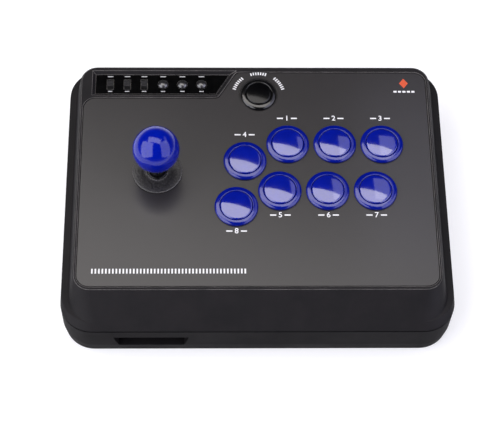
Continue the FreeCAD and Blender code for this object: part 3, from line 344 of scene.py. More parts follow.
# Hard-drawn wire: brighter metal with fine lengthwise lines.
SPRING_WIRE = Finish("drawn_spring_wire", "B4B4B2", "C6C6C4", Surface.DRAWN, 0.25, 0.06, metallic=1.0,
                     grain_mm=0.2, grain_deep_mm=0.004, patch_mm=2)
# Hard chrome: a cool mirror with faint lengthwise lines.
CHROME = Finish("hard_chromed_steel", "C9CBD0", "D6D8DC", Surface.DRAWN, 0.12, 0.04, metallic=1.0,
                grain_mm=0.25, grain_deep_mm=0.003, patch_mm=6)
# Tinned switch can: brushed silver, a little duller than chrome.
TINNED_CAN = Finish("tinned_brass_can", "B7B6B0", "C8C6BF", Surface.DRAWN, 0.3, 0.08, metallic=1.0,
                    grain_mm=0.3, grain_deep_mm=0.006, patch_mm=3)
# Glass-filled PBT: a chalky black with a finely pitted skin.
SWITCH_PBT = Finish("glass_filled_black_pbt", "171718", "222224", Surface.ERODED, 0.6, 0.08, ior=1.57,
                    grain_mm=0.5, grain_deep_mm=0.02, patch_mm=2)
# Solder mask over etched copper: glossy green with the tracks raised under it.
BOARD_MASK = Finish("green_solder_mask", "0B3A1D", "1A5A2E", Surface.BOARD, 0.3, 0.08, ior=1.55,
                    grain_mm=2.2, grain_deep_mm=0.08, patch_mm=4)
# Unfilled nylon: waxy off-white that yellows unevenly.
NATURAL_NYLON = Finish("natural_nylon", "D8D3C4", "E3DFD3", Surface.POLISHED, 0.36, 0.06, ior=1.53,
                       grain_mm=1.2, grain_deep_mm=0.01, patch_mm=6, edge_mm=0.1)
# Screen ink: a flat opaque film, very slightly uneven where the mesh left it thin.
WHITE_INK = Finish("white_screen_ink", "D9D9D7", "E6E6E4", Surface.PRINTED, 0.5, 0.05, grain_mm=0.3,
                   grain_deep_mm=0.004, patch_mm=1)
GREY_INK = Finish("grey_screen_ink", "9A9A99", "B0B0AE", Surface.PRINTED, 0.5, 0.05, grain_mm=0.3,
                  grain_deep_mm=0.004, patch_mm=1)
ORANGE_INK = Finish("orange_screen_ink", "C2451F", "D0532A", Surface.PRINTED, 0.5, 0.05, grain_mm=0.3,
                    grain_deep_mm=0.004, patch_mm=1)

CARRIED_OVER = {
    CASE_ABS: ("top_shell",),
    CASE_LOWER_SHADED_ABS: ("bottom_shell",),
    PANEL_SHEET: ("panel_inlay",),
    STRIP_ACRYLIC: ("function_bezel",),
    KNOB_ACETAL: tuple(f"slide_knob_{number}" for number in STRIP_CONTROLS),
    POWDER_STEEL: ("base_plate", "joystick_plate"),
    FOOT_RUBBER: ("cable_gland",),
    ZINC_PLATE: ("case_screws", "board_screws", "joystick_screws"),
    SPRING_WIRE: ("centring_spring", "shaft_clip"),
    CHROME: ("shaft",),
    TINNED_CAN: ("slide_switches", "front_port_shell"),
    SWITCH_PBT: ("tact_switches", "front_port_tongue", "joystick_housing", "restrictor_gate",
                 "stick_switches", "button_switches"),
    BOARD_MASK: ("function_board", "main_board", "front_port_board", "stick_switch_board"),
    NATURAL_NYLON: ("bearing_cup", "pivot_ball", "actuator", "spring_seat", "stick_connector"),
}


# ---- mesh helpers --------------------------------------------------------------------------------

Point = tuple[float, float]


def centre_of(node: str) -> Vector:
    """The middle of a CAD node's box, in metres."""
    low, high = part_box(node)
    return (low + high) / 2


def heights_of(node: str) -> Point:
    """The heights of the bottom and the top of a CAD node's box, in millimetres."""
    low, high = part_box(node)
    return low.z / MM, high.z / MM


def finished(name: str, shape: bmesh.types.BMesh, finish: Finish, body: str, *stands_for: str,
             smooth_deg: float = 32.0) -> bpy.types.Object:
    """Turns a shape in metres into a piece that rides on a body.

    Args:
        name: The piece's name.
        shape: The mesh, in place; it is freed.
        finish: What the piece is made of.
        body: The body that it moves with.
        stands_for: The CAD nodes that it replaces.
        smooth_deg: Edges sharper than this stay sharp.

    Returns:
        The new object.
    """
    bmesh.ops.remove_doubles(shape, verts=shape.verts, dist=1e-7)
    bmesh.ops.recalc_face_normals(shape, faces=shape.faces)
    mesh = bpy.data.meshes.new(name)
    shape.to_mesh(mesh)
    shape.free()
    mesh.shade_smooth()
    mesh.set_sharp_from_angle(angle=math.radians(smooth_deg))
    piece = bpy.data.objects.new(name, mesh)
    bpy.context.scene.collection.objects.link(piece)
    mesh.materials.append(finish.material())
    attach(piece, body)
    if stands_for:
        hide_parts(*stands_for)
    LOG.info("%s: %d faces, %s", name, len(mesh.polygons), finish.name)
    return piece


def arc(centre: Point, radius: float, start_deg: float, end_deg: float, steps: int) -> list[Point]:
    """Points along an arc in a profile, both ends included.

    Args:
        centre: Radius and height of the arc's centre.
        radius: The arc's radius.
        start_deg: Where it starts, from the outward direction.
        end_deg: Where it ends.
        steps: How many pieces it has.

    Returns:
        The points, as radius and height.
    """
    turns = [math.radians(start_deg + (end_deg - start_deg) * step / steps) for step in range(steps + 1)]
    return [(centre[0] + radius * math.cos(turn), centre[1] + radius * math.sin(turn)) for turn in turns]


def turned(profile: Iterable[Point], at: Vector, segments: int = 96) -> bmesh.types.BMesh:
    """Turns a closed profile about an upright axis.

    Args:
        profile: Radius and height in millimetres, going round the section.
        at: The axis, in metres; its height isn't used.
        segments: How many steps go round.

    Returns:
        The mesh, in metres.
    """
    shape = bmesh.new()
    rings = []
    for radius, height in profile:
        if radius <= 0:
            rings.append([shape.verts.new((at.x, at.y, height * MM))] * segments)
            continue
        ring = []
        for step in range(segments):
            turn = math.tau * step / segments
            ring.append(shape.verts.new((at.x + radius * MM * math.cos(turn),
                                         at.y + radius * MM * math.sin(turn), height * MM)))
        rings.append(ring)
    for low, high in zip(rings, rings[1:] + rings[:1]):
        for step in range(segments):
            after = (step + 1) % segments
            corners = [low[step], low[after], high[after], high[step]]
            unique = list(dict.fromkeys(corners))
            if len(unique) > 2:
                shape.faces.new(unique)
    return shape


def block(shape: bmesh.types.BMesh, low: Vector, high: Vector) -> None:
    """Adds a block to a mesh.

    Args:
        shape: The mesh.
        low: The lowest corner in metres.
        high: The highest corner in metres.
    """
    size = high - low
    bmesh.ops.create_cube(shape, size=1.0, matrix=Matrix.Translation((low + high) / 2)
                          @ Matrix.Diagonal((size.x, size.y, size.z, 1)))


# ---- play and start buttons ----------------------------------------------------------------------

@dataclass
class SnapButton:
    """A snap-in push button: the flanged body in the panel and the domed cap that moves.

    Attributes:
        body_node: The CAD node of the flanged body.
        cap_node: The CAD node of the cap.
        body_name: The moving body that the cap rides on.
        body_finish: What the flanged body is made of.
        cap_finish: What the cap is made of.
        seat: The height of the face that the flange sits on.
        barrel: The barrel's outer radius.
        cap_radius: The cap's radius.
        dome_radius: The radius of the cap's dome.
        dome_rise: How far the dome rises over the cap's edge.
        gap: The clearance round the cap.
        lip_roll: The radius of the lip round the cap.
        lip_depth: How far the lip's bore goes down as a sharp cylinder under the roll.
        fall_deg: How far the flange has turned down where its edge begins, from level.
        crest_deg: How far it has turned down at the lip.
        flange_edge: The radius of the flange's outer edge.
        flange_break: The width and height of the broken corner under that edge.
        floor: The thickness of the barrel's floor.
        post_hole: The radius of the floor's hole.
        clip_half_thickness: Half the thickness of a clip.
        clip_half_width: Half the width of a clip.
        clip_heights: The heights of a clip's two ends.
        shoulder: The radius round the dome.
        crease: How far that radius starts below the dome, so that a fine line shows.
        skirt: The length of the cap's skirt.
        skirt_wall: The thickness of the skirt.
        crown: The thickness of the cap under its dome's edge.
        post: The radius of the cap's post.
    """

    body_node: str
    cap_node: str
    body_name: str
    body_finish: Finish
    cap_finish: Finish
    seat: float
    barrel: float
    cap_radius: float
    dome_radius: float
    dome_rise: float
    gap: float = 0.3
    lip_roll: float = 0.45
    lip_depth: float = 0.4
    fall_deg: float = 20.0
    crest_deg: float = 3.0
    flange_edge: float = 1.5
    flange_break: Point = (0.15, 0.25)
    floor: float = 1.5
    post_hole: float = 4.5
    clip_half_thickness: float = 0.4
    clip_half_width: float = 2.5
    clip_heights: Point = (45.6, 48.9)
    shoulder: float = 0.8
    crease: float = 0.03
    skirt: float = 12.0
    skirt_wall: float = 1.5
    crown: float = 2.5
    post: float = 3.0

    def build(self) -> None:
        """Makes both pieces."""
        self.rim()
        self.cap()

    def rim(self) -> None:
        """The body: a flange that falls away to a round edge, a rolled lip, barrel and clips."""
        at = centre_of(self.body_node)
        low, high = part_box(self.body_node)
        outer = (high.x - low.x) / MM / 2
        top, bottom = high.z / MM, low.z / MM
        bore = self.cap_radius + self.gap
        roll, edge = self.lip_roll, self.flange_edge
        fall, crest = math.radians(self.fall_deg), math.radians(self.crest_deg)
        reach = outer - edge * (1 - math.sin(fall)) - bore - roll
        bend = reach / (math.sin(fall) - math.sin(crest))
        middle = (bore + roll - bend * math.sin(crest), top - bend * math.cos(crest))
        edge_middle = (outer - edge, middle[1] + (bend - edge) * math.cos(fall))
        profile = [(bore, bottom + self.floor), (bore, top - roll - self.lip_depth)]
        profile += arc((bore + roll, top - roll), roll, 180, 90, 6)
        profile += arc(middle, bend, 90 - self.crest_deg, 90 - self.fall_deg, 12)[1:]
        profile += arc(edge_middle, edge, 90 - self.fall_deg, 0, 10)[1:]
        break_in, break_up = self.flange_break
        profile += [(outer, self.seat + break_up), (outer - break_in, self.seat), (self.barrel, self.seat),
                    (self.barrel, bottom), (self.post_hole, bottom), (self.post_hole, bottom + self.floor)]
        shape = turned(profile, at)
        for side in (-1, 1):
            middle_x = at.x + side * self.barrel * MM
            reach_x, reach_y = self.clip_half_thickness * MM, self.clip_half_width * MM
            low_z, high_z = (height * MM for height in self.clip_heights)
            block(shape, Vector((middle_x - reach_x, at.y - reach_y, low_z)),
                  Vector((middle_x + reach_x, at.y + reach_y, high_z)))
        finished(self.body_node + "_body", shape, self.body_finish, "case", self.body_node)

    def cap(self) -> None:
        """The cap: a shallow dome with a rounded shoulder, a skirt and the post to its switch."""
        at = centre_of(self.cap_node)
        low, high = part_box(self.cap_node)
        top, post_end = high.z / MM, low.z / MM
        radius, shoulder = self.cap_radius, self.shoulder
        edge = top - self.dome_rise
        reach = math.degrees(math.asin((radius - shoulder) / self.dome_radius))
        profile = [(0.0, top)]
        profile += arc((0.0, top - self.dome_radius), self.dome_radius, 90, 90 - reach, 14)[1:]
        rim_height = top - self.dome_radius * (1 - math.cos(math.radians(reach))) - self.crease
        profile += arc((radius - shoulder, rim_height - shoulder), shoulder, 90 - reach, 0, 6)
        profile += [(radius, edge - self.skirt), (radius - self.skirt_wall, edge - self.skirt),
                    (radius - self.skirt_wall, edge - self.crown), (self.post, edge - self.crown),
                    (self.post, post_end), (0.0, post_end)]
        finished(self.cap_node + "_cap", turned(profile, at), self.cap_finish, self.body_name,
                 self.cap_node)


# ---- lever ---------------------------------------------------------------------------------------

@dataclass
class Lever:
    """The ball top, its tube and the two dust rings over the panel.

    Attributes:
        ball_radius: The ball's radius.
        ball_height: The height of the ball's centre.
        socket: The radius of the ball's threaded socket.
        socket_top: How far under the ball's centre the socket ends.
        threads: How many threads the socket has.
        thread_deep: How deep a thread is cut.
        thread_half: Half the height of one.
        tube_bore: The radius of the tube's bore.
        tube_outer: The tube's outer radius.
        tube_chamfer: The chamfer of its ends.
        bush_inner: The bush's inner radius.
        bush_outer: The bush's outer radius.
        bush_roll: The radius of the bush's rims.
        washer_inner: The washer's inner radius.
        washer_outer: The washer's outer radius.
        dish: The radii between which the washer is dished.
        dish_deep: How deep the dish is.
        dish_slope: How wide its sloping sides are.
    """

    ball_radius: float = 17.5
    ball_height: float = 87.7
    socket: float = 3.05
    socket_top: float = 7.8
    threads: int = 8
    thread_deep: float = 0.25
    thread_half: float = 0.3
    tube_bore: float = 4.05
    tube_outer: float = 5.5
    tube_chamfer: float = 0.3
    bush_inner: float = 5.9
    bush_outer: float = 7.3
    bush_roll: float = 0.35
    washer_inner: float = 7.7
    washer_outer: float = 18.75
    dish: Point = (8.4, 10.8)
    dish_deep: float = 0.12
    dish_slope: float = 0.4

    def build(self) -> None:
        """Makes the pieces of the lever that show."""
        self.ball()
        self.tube()
        self.bush()
        self.washer()

    def ball(self) -> None:
        """A ball with a small flat round its threaded socket."""
        at = centre_of("ball_top")
        start = math.degrees(math.acos(self.socket / self.ball_radius))
        profile = arc((0.0, self.ball_height), self.ball_radius, -start, 90, 44)
        profile[-1] = (0.0, self.ball_height + self.ball_radius)
        ceiling = self.ball_height - self.socket_top
        wall = [(0.0, ceiling), (self.socket, ceiling)]
        low = self.ball_height - self.ball_radius * math.sin(math.radians(start))
        half = self.thread_half
        pitch = (ceiling - low - 4 * half) / self.threads
        for thread in range(self.threads):
            height = ceiling - 2 * half - thread * pitch
            wall += [(self.socket, height), (self.socket + self.thread_deep, height - half),
                     (self.socket, height - 2 * half)]
        finished("ball_top_knob", turned(profile + wall, at, 112), BALL_MELAMINE, "stick", "ball_top")

    def tube(self) -> None:
        """The tube over the shaft, with its ends broken by a small chamfer."""
        at = centre_of("shaft_cover")
        low, high = heights_of("shaft_cover")
        outer, chamfer = self.tube_outer, self.tube_chamfer
        profile = [(self.tube_bore, low), (outer - chamfer, low), (outer, low + chamfer),
                   (outer, high - chamfer), (outer - chamfer, high), (self.tube_bore, high)]
        finished("shaft_cover_tube", turned(profile, at, 64), TUBE_ABS, "stick", "shaft_cover")

    def bush(self) -> None:
        """The ring inside the dust washer, with rounded rims."""
        at = centre_of("washer_bush")
        low, high = heights_of("washer_bush")
        roll = self.bush_roll
        inner, outer = self.bush_inner + roll, self.bush_outer - roll
        profile = [(self.bush_inner, low), (outer, low)]
        profile += arc((outer, low + roll), roll, -90, 0, 4)
        profile += arc((outer, high - roll), roll, 0, 90, 4)
        profile += [(inner, high)]
        profile += arc((inner, high - roll), roll, 90, 180, 4)
        finished("washer_bush_ring", turned(profile, at, 64), TUBE_ABS, "washer_bush", "washer_bush")

    def washer(self) -> None:
        """The dust washer, with its edge rolled over and a shallow dish near the middle."""
        at = centre_of("dust_washer")
        low, high = heights_of("dust_washer")
        half = (high - low) / 2
        roll_at = self.washer_outer - half
        near, far = self.dish
        profile = [(self.washer_inner, low), (roll_at, low)]
        profile += arc((roll_at, low + half), half, -90, 90, 8)
        profile += [(far + self.dish_slope, high), (far, high - self.dish_deep),
                    (near, high - self.dish_deep), (near - self.dish_slope, high),
                    (self.washer_inner, high - 0.1)]
        finished("dust_washer_disc", turned(profile, at, 112), WASHER_VINYL, "dust_washer", "dust_washer")


# ---- function keys -------------------------------------------------------------------------------

@dataclass
class FunctionKeys:
    """The small round keys on the function strip.

    Attributes:
        radius: A key's radius.
        shoulder: The radius round its dome.
        crease: How far that radius starts below the dome.
        dome: The radius of its dome.
    """

    radius: float = 3.75
    shoulder: float = 0.5
    crease: float = 0.02
    dome: float = 6.0

    def build(self) -> None:
        """Makes each key as a domed column with a soft shoulder."""
        inner = self.radius - self.shoulder
        reach = math.degrees(math.asin(inner / self.dome))
        fall = self.dome * (1 - math.cos(math.radians(reach))) + self.crease
        for number in STRIP_CONTROLS:
            node = f"function_button_{number}"
            low, high = heights_of(node)
            profile = [(0.0, high)] + arc((0.0, high - self.dome), self.dome, 90, 90 - reach, 8)[1:]
            profile += arc((inner, high - fall - self.shoulder), self.shoulder, 90 - reach, 0, 5)
            profile += [(self.radius, low), (0.0, low)]
            finished(node + "_cap", turned(profile, centre_of(node), 48), KEY_ABS, f"key_{number}", node)


# ---- feet and screws -----------------------------------------------------------------------------

class TreeInput(Enum):
    """The kinds of named input that a geometry tree has."""

    NUMBER = "NodeSocketFloat"
    MATERIAL = "NodeSocketMaterial"


@dataclass
class RepeatTree:
    """A geometry tree whose result is a plain mesh.

    Attributes:
        name: The tree's name.
        tree: The tree itself.
        entry: The node that its inputs come from.
    """

    name: str
    tree: bpy.types.NodeTree = field(init=False)
    entry: bpy.types.Node = field(init=False)

    def __post_init__(self) -> None:
        """Makes the empty tree with its geometry sockets."""
        self.tree = bpy.data.node_groups.new(self.name, "GeometryNodeTree")
        self.tree.interface.new_socket("Geometry", in_out="INPUT", socket_type="NodeSocketGeometry")
        self.tree.interface.new_socket("Geometry", in_out="OUTPUT", socket_type="NodeSocketGeometry")
        self.entry = self.tree.nodes.new("NodeGroupInput")

    def size(self, name: str, kind: TreeInput = TreeInput.NUMBER) -> Any:
        """Adds a named input and returns its socket inside the tree."""
        self.tree.interface.new_socket(name, in_out="INPUT", socket_type=kind.value)
        return self.entry.outputs[name]

    def close(self, geometry: Any, material: Any) -> None:
        """Ends the tree.

        Args:
            geometry: The instances to realise.
            material: The socket that gives the material.
        """
        real = add(self.tree, "GeometryNodeRealizeInstances", links={"Geometry": geometry})
        dressed = add(self.tree, "GeometryNodeSetMaterial", links={
            "Geometry": real.outputs["Geometry"], "Material": material})
        end = self.tree.nodes.new("NodeGroupOutput")
        self.tree.links.new(dressed.outputs["Geometry"], end.inputs["Geometry"])

    def bake(self, name: str, points: list[Vector], values: dict[str, Any], finish: Finish,
             body: str, *stands_for: str) -> bpy.types.Object:
        """Runs the tree on points and keeps the result as a plain piece.

        Args:
            name: The piece's name.
            points: Where the repeats go, in metres.
            values: The tree's inputs by name.
            finish: What the piece is made of.
            body: The body that it moves with.
            stands_for: The CAD nodes that it replaces.

        Returns:
            The new object.
        """
        seeds = bpy.data.meshes.new(name + "_points")
        seeds.from_pydata(points, [], [])
        holder = bpy.data.objects.new(name + "_holder", seeds)
        bpy.context.scene.collection.objects.link(holder)
        modifier = holder.modifiers.new("repeat", "NODES")
        modifier.node_group = self.tree
        values = {**values, "Material": finish.material()}
        for item in self.tree.interface.items_tree:
            if item.in_out == "INPUT" and item.name in values:
                modifier[item.identifier] = values[item.name]
        holder.update_tag()
        graph = bpy.context.evaluated_depsgraph_get()
        mesh = bpy.data.meshes.new_from_object(holder.evaluated_get(graph))
        holder.modifiers.remove(modifier)
        bpy.data.objects.remove(holder)
        shape = bmesh.new()
        shape.from_mesh(mesh)
        return finished(name, shape, finish, body, *stands_for)


def islands(node: str) -> list[tuple[Vector, Vector]]:
    """The boxes of the separate solids in a CAD node.

    Args:
        node: The CAD node.

    Returns:
        Lowest and highest corner of each solid, in metres.
    """
    shape = bmesh.new()
    shape.from_mesh(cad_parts[node].data)
    bmesh.ops.remove_doubles(shape, verts=shape.verts, dist=1e-6)
    left = set(shape.verts)
    boxes = []
    while left:
        todo = [left.pop()]
        found = []
        while todo:
            vert = todo.pop()
            found.append(vert.co.copy())
            for edge in vert.link_edges:
                other = edge.other_vert(vert)
                if other in left:
                    left.remove(other)
                    todo.append(other)
        boxes.append((Vector(map(min, zip(*found))), Vector(map(max, zip(*found)))))
    shape.free()
    return sorted(boxes, key=lambda pair: tuple(pair[0]))


@dataclass
class Underside:
    """What shows from below: ribbed rubber feet and the screws of the base plate.

    Attributes:
        groove_step: The distance from one ring groove of a foot to the next.
        groove_deep: How deep a groove is.
        groove_slope: How wide each of its sloping sides is.
        foot_corner: The chamfer at the top of a foot.
        foot_lower_corner: The rounding at its bottom.
        screw_shank: The radius of a screw's shank.
        screw_head: The height of a screw's head.
        screw_slot: The width of the cross recess.
    """

    groove_step: float = 1.6
    groove_deep: float = 0.35
    groove_slope: float = 0.2
    foot_corner: float = 0.2
    foot_lower_corner: float = 0.5
    screw_shank: float = 1.5
    screw_head: float = 1.6
    screw_slot: float = 0.8

    def build(self) -> None:
        """Makes the feet and the screws."""
        self.feet()
        self.screws()

    def foot_profile(self, radius: float, height: float) -> list[Point]:
        """The section of a foot, with its corners broken and ring grooves in its lower face.

        Args:
            radius: The foot's radius in millimetres.
            height: The foot's height in millimetres.

        Returns:
            Radius and height of each point.
        """
        corner, lower_corner, deep = self.foot_corner, self.foot_lower_corner, self.groove_deep
        profile = [(0.0, height), (radius - corner, height), (radius, height - corner),
                   (radius, lower_corner), (radius - 0.15, 0.15), (radius - lower_corner, 0.0)]
        outer, inner = self.groove_slope, self.groove_step / 2
        ring = radius - self.groove_step
        while ring > self.groove_step:
            profile += [(ring, 0.0), (ring - outer, deep), (ring - inner + outer, deep), (ring - inner, 0.0)]
            ring -= self.groove_step
        return profile + [(0.0, 0.0)]

    def feet(self) -> None:
        """Four rubber discs that the panel stands on."""
        made = bmesh.new()
        for low, high in islands("rubber_feet"):
            profile = self.foot_profile((high.x - low.x) / MM / 2, (high.z - low.z) / MM)
            foot = turned(profile, (low + high) / 2, 64)
            mesh = bpy.data.meshes.new("foot")
            foot.to_mesh(mesh)
            foot.free()
            made.from_mesh(mesh)
            bpy.data.meshes.remove(mesh)
        finished("rubber_feet_set", made, FOOT_RUBBER, "case", "rubber_feet")

    def screws(self) -> None:
        """Pan-head screws with a cross recess, one tree for every screw in the base plate."""
        tree = RepeatTree("pan_head_screws")
        radius, length = tree.size("Head radius"), tree.size("Shank length")
        shank, height = tree.size("Shank radius"), tree.size("Head height")
        slot, material = tree.size("Slot width"), tree.size("Material", TreeInput.MATERIAL)
        nodes = tree.tree
        head = add(nodes, "GeometryNodeMeshCone", {"Vertices": 32, "Side Segments": 2},
                   {"Radius Bottom": radius, "Depth": height})
        narrow = add(nodes, "ShaderNodeMath", {1: 0.86}, {0: radius}, operation="MULTIPLY")
        nodes.links.new(narrow.outputs[0], head.inputs["Radius Top"])
        flipped = add(nodes, "GeometryNodeTransform", {"Rotation": (math.pi, 0, 0)},
                      {"Geometry": head.outputs["Mesh"]})
        deep = add(nodes, "ShaderNodeMath", {1: 0.7}, {0: height}, operation="MULTIPLY")
        long = add(nodes, "ShaderNodeMath", {1: 1.2}, {0: radius}, operation="MULTIPLY")
        cross = add(nodes, "GeometryNodeJoinGeometry")
        for turn in (0.0, math.pi / 2):
            size = add(nodes, "ShaderNodeCombineXYZ", links={
                "X": long.outputs[0], "Y": slot, "Z": deep.outputs[0]})
            bar = add(nodes, "GeometryNodeMeshCube", links={"Size": size.outputs[0]})
            spun = add(nodes, "GeometryNodeTransform", {"Rotation": (0, 0, turn)},
                       {"Geometry": bar.outputs["Mesh"]})
            nodes.links.new(spun.outputs["Geometry"], cross.inputs[0])
        drop = add(nodes, "ShaderNodeMath", {1: -1.0}, {0: height}, operation="MULTIPLY")
        down = add(nodes, "ShaderNodeCombineXYZ", links={"Z": drop.outputs[0]})
        lowered = add(nodes, "GeometryNodeTransform", links={
            "Geometry": cross.outputs[0], "Translation": down.outputs[0]})
        recessed = add(nodes, "GeometryNodeMeshBoolean", links={
            "Mesh 1": flipped.outputs["Geometry"], "Mesh 2": lowered.outputs["Geometry"]},
            operation="DIFFERENCE")
        rod = add(nodes, "GeometryNodeMeshCylinder", {"Vertices": 20}, {"Radius": shank, "Depth": length})
        half = add(nodes, "ShaderNodeMath", {1: 0.5}, {0: length}, operation="MULTIPLY")
        raise_by = add(nodes, "ShaderNodeCombineXYZ", links={"Z": half.outputs[0]})
        raised = add(nodes, "GeometryNodeTransform", links={
            "Geometry": rod.outputs["Mesh"], "Translation": raise_by.outputs[0]})
        one = add(nodes, "GeometryNodeJoinGeometry")
        nodes.links.new(raised.outputs["Geometry"], one.inputs[0])
        nodes.links.new(recessed.outputs["Mesh"], one.inputs[0])
        every = add(nodes, "GeometryNodeInstanceOnPoints", links={
            "Points": tree.entry.outputs["Geometry"], "Instance": one.outputs[0]})
        tree.close(every.outputs["Instances"], material)
        boxes = islands("base_plate_screws")
        head_height = self.screw_head * MM
        points = [Vector(((low.x + high.x) / 2, (low.y + high.y) / 2, low.z + head_height))
                  for low, high in boxes]
        one_low, one_high = boxes[0]
        tree.bake("base_plate_screw_set", points, {
            "Head radius": (one_high.x - one_low.x) / 2,
            "Shank length": one_high.z - one_low.z - head_height,
            "Shank radius": self.screw_shank * MM, "Head height": head_height,
            "Slot width": self.screw_slot * MM}, ZINC_PLATE, "case", "base_plate_screws")


# ---- printed marks -------------------------------------------------------------------------------

@dataclass
class PrintedMarks:
    """Screen-printed numerals and plain marks on the panel and on the function strip.

    Attributes:
        ink: How thick the ink film is made, so that it shows as a film.
        digit: The height of a numeral.
        type_size: The type size that gives a numeral a height of 1.
        bold: How much every stroke is thickened on each side.
        thumb_back: The number of the rear thumb button, whose numeral stands above it.
        label_above: How far a numeral stands behind its button's middle.
        label_below: How far a numeral stands in front of its button's middle.
        bar_offset: From the middle of a numeral to the middle of its bars.
        bar_half: Half the length and half the height of such a bar.
        ring: The radius of the ring of ticks round the start button.
        ring_groups_deg: Where its groups stand, from straight behind the button.
        ring_ticks: How many ticks a group has.
        ring_step_deg: From one tick to the next.
        ring_tick: Width and height of a tick of the ring.
        row_ends: Where the row of ticks along the front begins and ends.
        row_back: How far back the row is.
        row_ticks: How many ticks it has.
        row_tick: Width and height of a tick of the row.
        diamond_at: The middle of the diamond.
        diamond_half: Half its width and half its height.
        under_bars: How many bars stand under the diamond.
        under_pitch: From one of them to the next.
        under_drop: From the diamond's middle to theirs.
        under_half: Half the length and half the height of one.
        dash_rows: For the dashes beside a control, how far back they are and half their length.
        dash_half: Half the height of such a dash.
    """

    ink: float = 0.03
    digit: float = 4.4
    type_size: float = 1.38
    bold: float = 0.09
    thumb_back: int = 4
    label_above: float = 23.6
    label_below: float = 20.2
    bar_offset: float = 5.4
    bar_half: Point = (2.3, 0.55)
    ring: float = 19.6
    ring_groups_deg: tuple[float, ...] = (-57, 0, 57)
    ring_ticks: int = 7
    ring_step_deg: float = 5.6
    ring_tick: Point = (0.95, 2.6)
    row_ends: Point = (-121.5, -9.5)
    row_back: float = -71.6
    row_ticks: int = 45
    row_tick: Point = (1.15, 3.9)
    diamond_at: Point = (116.0, 91.0)
    diamond_half: Point = (3.4, 4.4)
    under_bars: int = 5
    under_pitch: float = 3.5
    under_drop: float = 7.6
    under_half: Point = (1.2, 0.8)
    dash_rows: tuple[Point, ...] = ((7.3, 2.2), (-6.3, 1.7))
    dash_half: float = 0.42
    panel: float = field(init=False)
    strip: float = field(init=False)

    def __post_init__(self) -> None:
        """Reads the height of the two printed faces."""
        self.panel = heights_of("panel_inlay")[1]
        self.strip = heights_of("function_bezel")[1]

    def build(self) -> None:
        """Makes every mark."""
        self.numerals()
        self.bars()
        self.start_ticks()
        self.rule()
        self.diamond()
        self.strip_marks()

    def on_face(self, x: float, y: float, face: float) -> Vector:
        """The middle of the ink film over a place on a printed face.

        Args:
            x: The place, left to right, in millimetres.
            y: The place, front to back, in millimetres.
            face: The height of the face in millimetres.

        Returns:
            The point in metres.
        """
        return Vector((x, y, face + self.ink / 2)) * MM

    def dash(self, shape: bmesh.types.BMesh, middle: Vector, half: Point) -> None:
        """Adds a bar of ink to a mesh.

        Args:
            shape: The mesh.
            middle: The bar's middle in metres.
            half: Half its length and half its height in millimetres.
        """
        reach = Vector((*half, self.ink / 2)) * MM
        block(shape, middle - reach, middle + reach)

    def label_places(self) -> list[tuple[int, Vector]]:
        """Finds the labels' places.

        Returns:
            Each button's number and the middle of its label, in metres.
        """
        places = []
        for number in PLAY_BUTTONS:
            at = centre_of(f"button_rim_{number}") / MM
            away = self.label_above if number <= self.thumb_back else -self.label_below
            places.append((number, self.on_face(at.x, at.y + away, self.panel)))
        return places

    def numerals(self) -> None:
        """A bold numeral beside each play button."""
        made = bmesh.new()
        for number, at in self.label_places():
            curve = bpy.data.curves.new("numeral", "FONT")
            curve.body = str(number)
            curve.size = self.digit * self.type_size * MM
            curve.offset = self.bold * MM
            curve.extrude = self.ink / 2 * MM
            curve.align_x, curve.align_y = "CENTER", "CENTER"
            curve.resolution_u = 4
            letter = bpy.data.objects.new("numeral", curve)
            bpy.context.scene.collection.objects.link(letter)
            mesh = bpy.data.meshes.new_from_object(
                letter.evaluated_get(bpy.context.evaluated_depsgraph_get()))
            bpy.data.objects.remove(letter)
            mesh.transform(Matrix.Translation(at))
            made.from_mesh(mesh)
        finished("button_numerals", made, WHITE_INK, "case")

    def bars(self) -> None:
        """A short bar on each side of every numeral."""
        made = bmesh.new()
        for _, at in self.label_places():
            for side in (-1, 1):
                self.dash(made, at + Vector((side * self.bar_offset * MM, 0, 0)), self.bar_half)
        finished("numeral_bars", made, WHITE_INK, "case")

    def tick_tree(self) -> RepeatTree:
        """Makes a tree that puts one tick on every point.

        Returns:
            The tree. Where its input Fanned is 1, each tick turns to point away from the centre that
            is given, and where it is 0 they all stand upright.
        """
        tree = RepeatTree("printed_ticks")
        width, height = tree.size("Tick width"), tree.size("Tick height")
        thick, fanned = tree.size("Ink thickness"), tree.size("Fanned")
        centre_x, centre_y = tree.size("Centre x"), tree.size("Centre y")
        material = tree.size("Material", TreeInput.MATERIAL)
        nodes = tree.tree
        size = add(nodes, "ShaderNodeCombineXYZ", links={"X": width, "Y": height, "Z": thick})
        bar = add(nodes, "GeometryNodeMeshCube", links={"Size": size.outputs[0]})
        place = add(nodes, "GeometryNodeInputPosition")
        parts = add(nodes, "ShaderNodeSeparateXYZ", links={0: place.outputs[0]})
        across = add(nodes, "ShaderNodeMath", links={0: parts.outputs["X"], 1: centre_x},
                     operation="SUBTRACT")
        along = add(nodes, "ShaderNodeMath", links={0: parts.outputs["Y"], 1: centre_y},
                    operation="SUBTRACT")
        turn = add(nodes, "ShaderNodeMath", links={0: across.outputs[0], 1: along.outputs[0]},
                   operation="ARCTAN2")
        used = add(nodes, "ShaderNodeMath", links={0: turn.outputs[0], 1: fanned}, operation="MULTIPLY")
        back = add(nodes, "ShaderNodeMath", {1: -1.0}, {0: used.outputs[0]}, operation="MULTIPLY")
        angles = add(nodes, "ShaderNodeCombineXYZ", links={"Z": back.outputs[0]})
        every = add(nodes, "GeometryNodeInstanceOnPoints", links={
            "Points": tree.entry.outputs["Geometry"], "Instance": bar.outputs["Mesh"],
            "Rotation": angles.outputs[0]})
        tree.close(every.outputs["Instances"], material)
        return tree

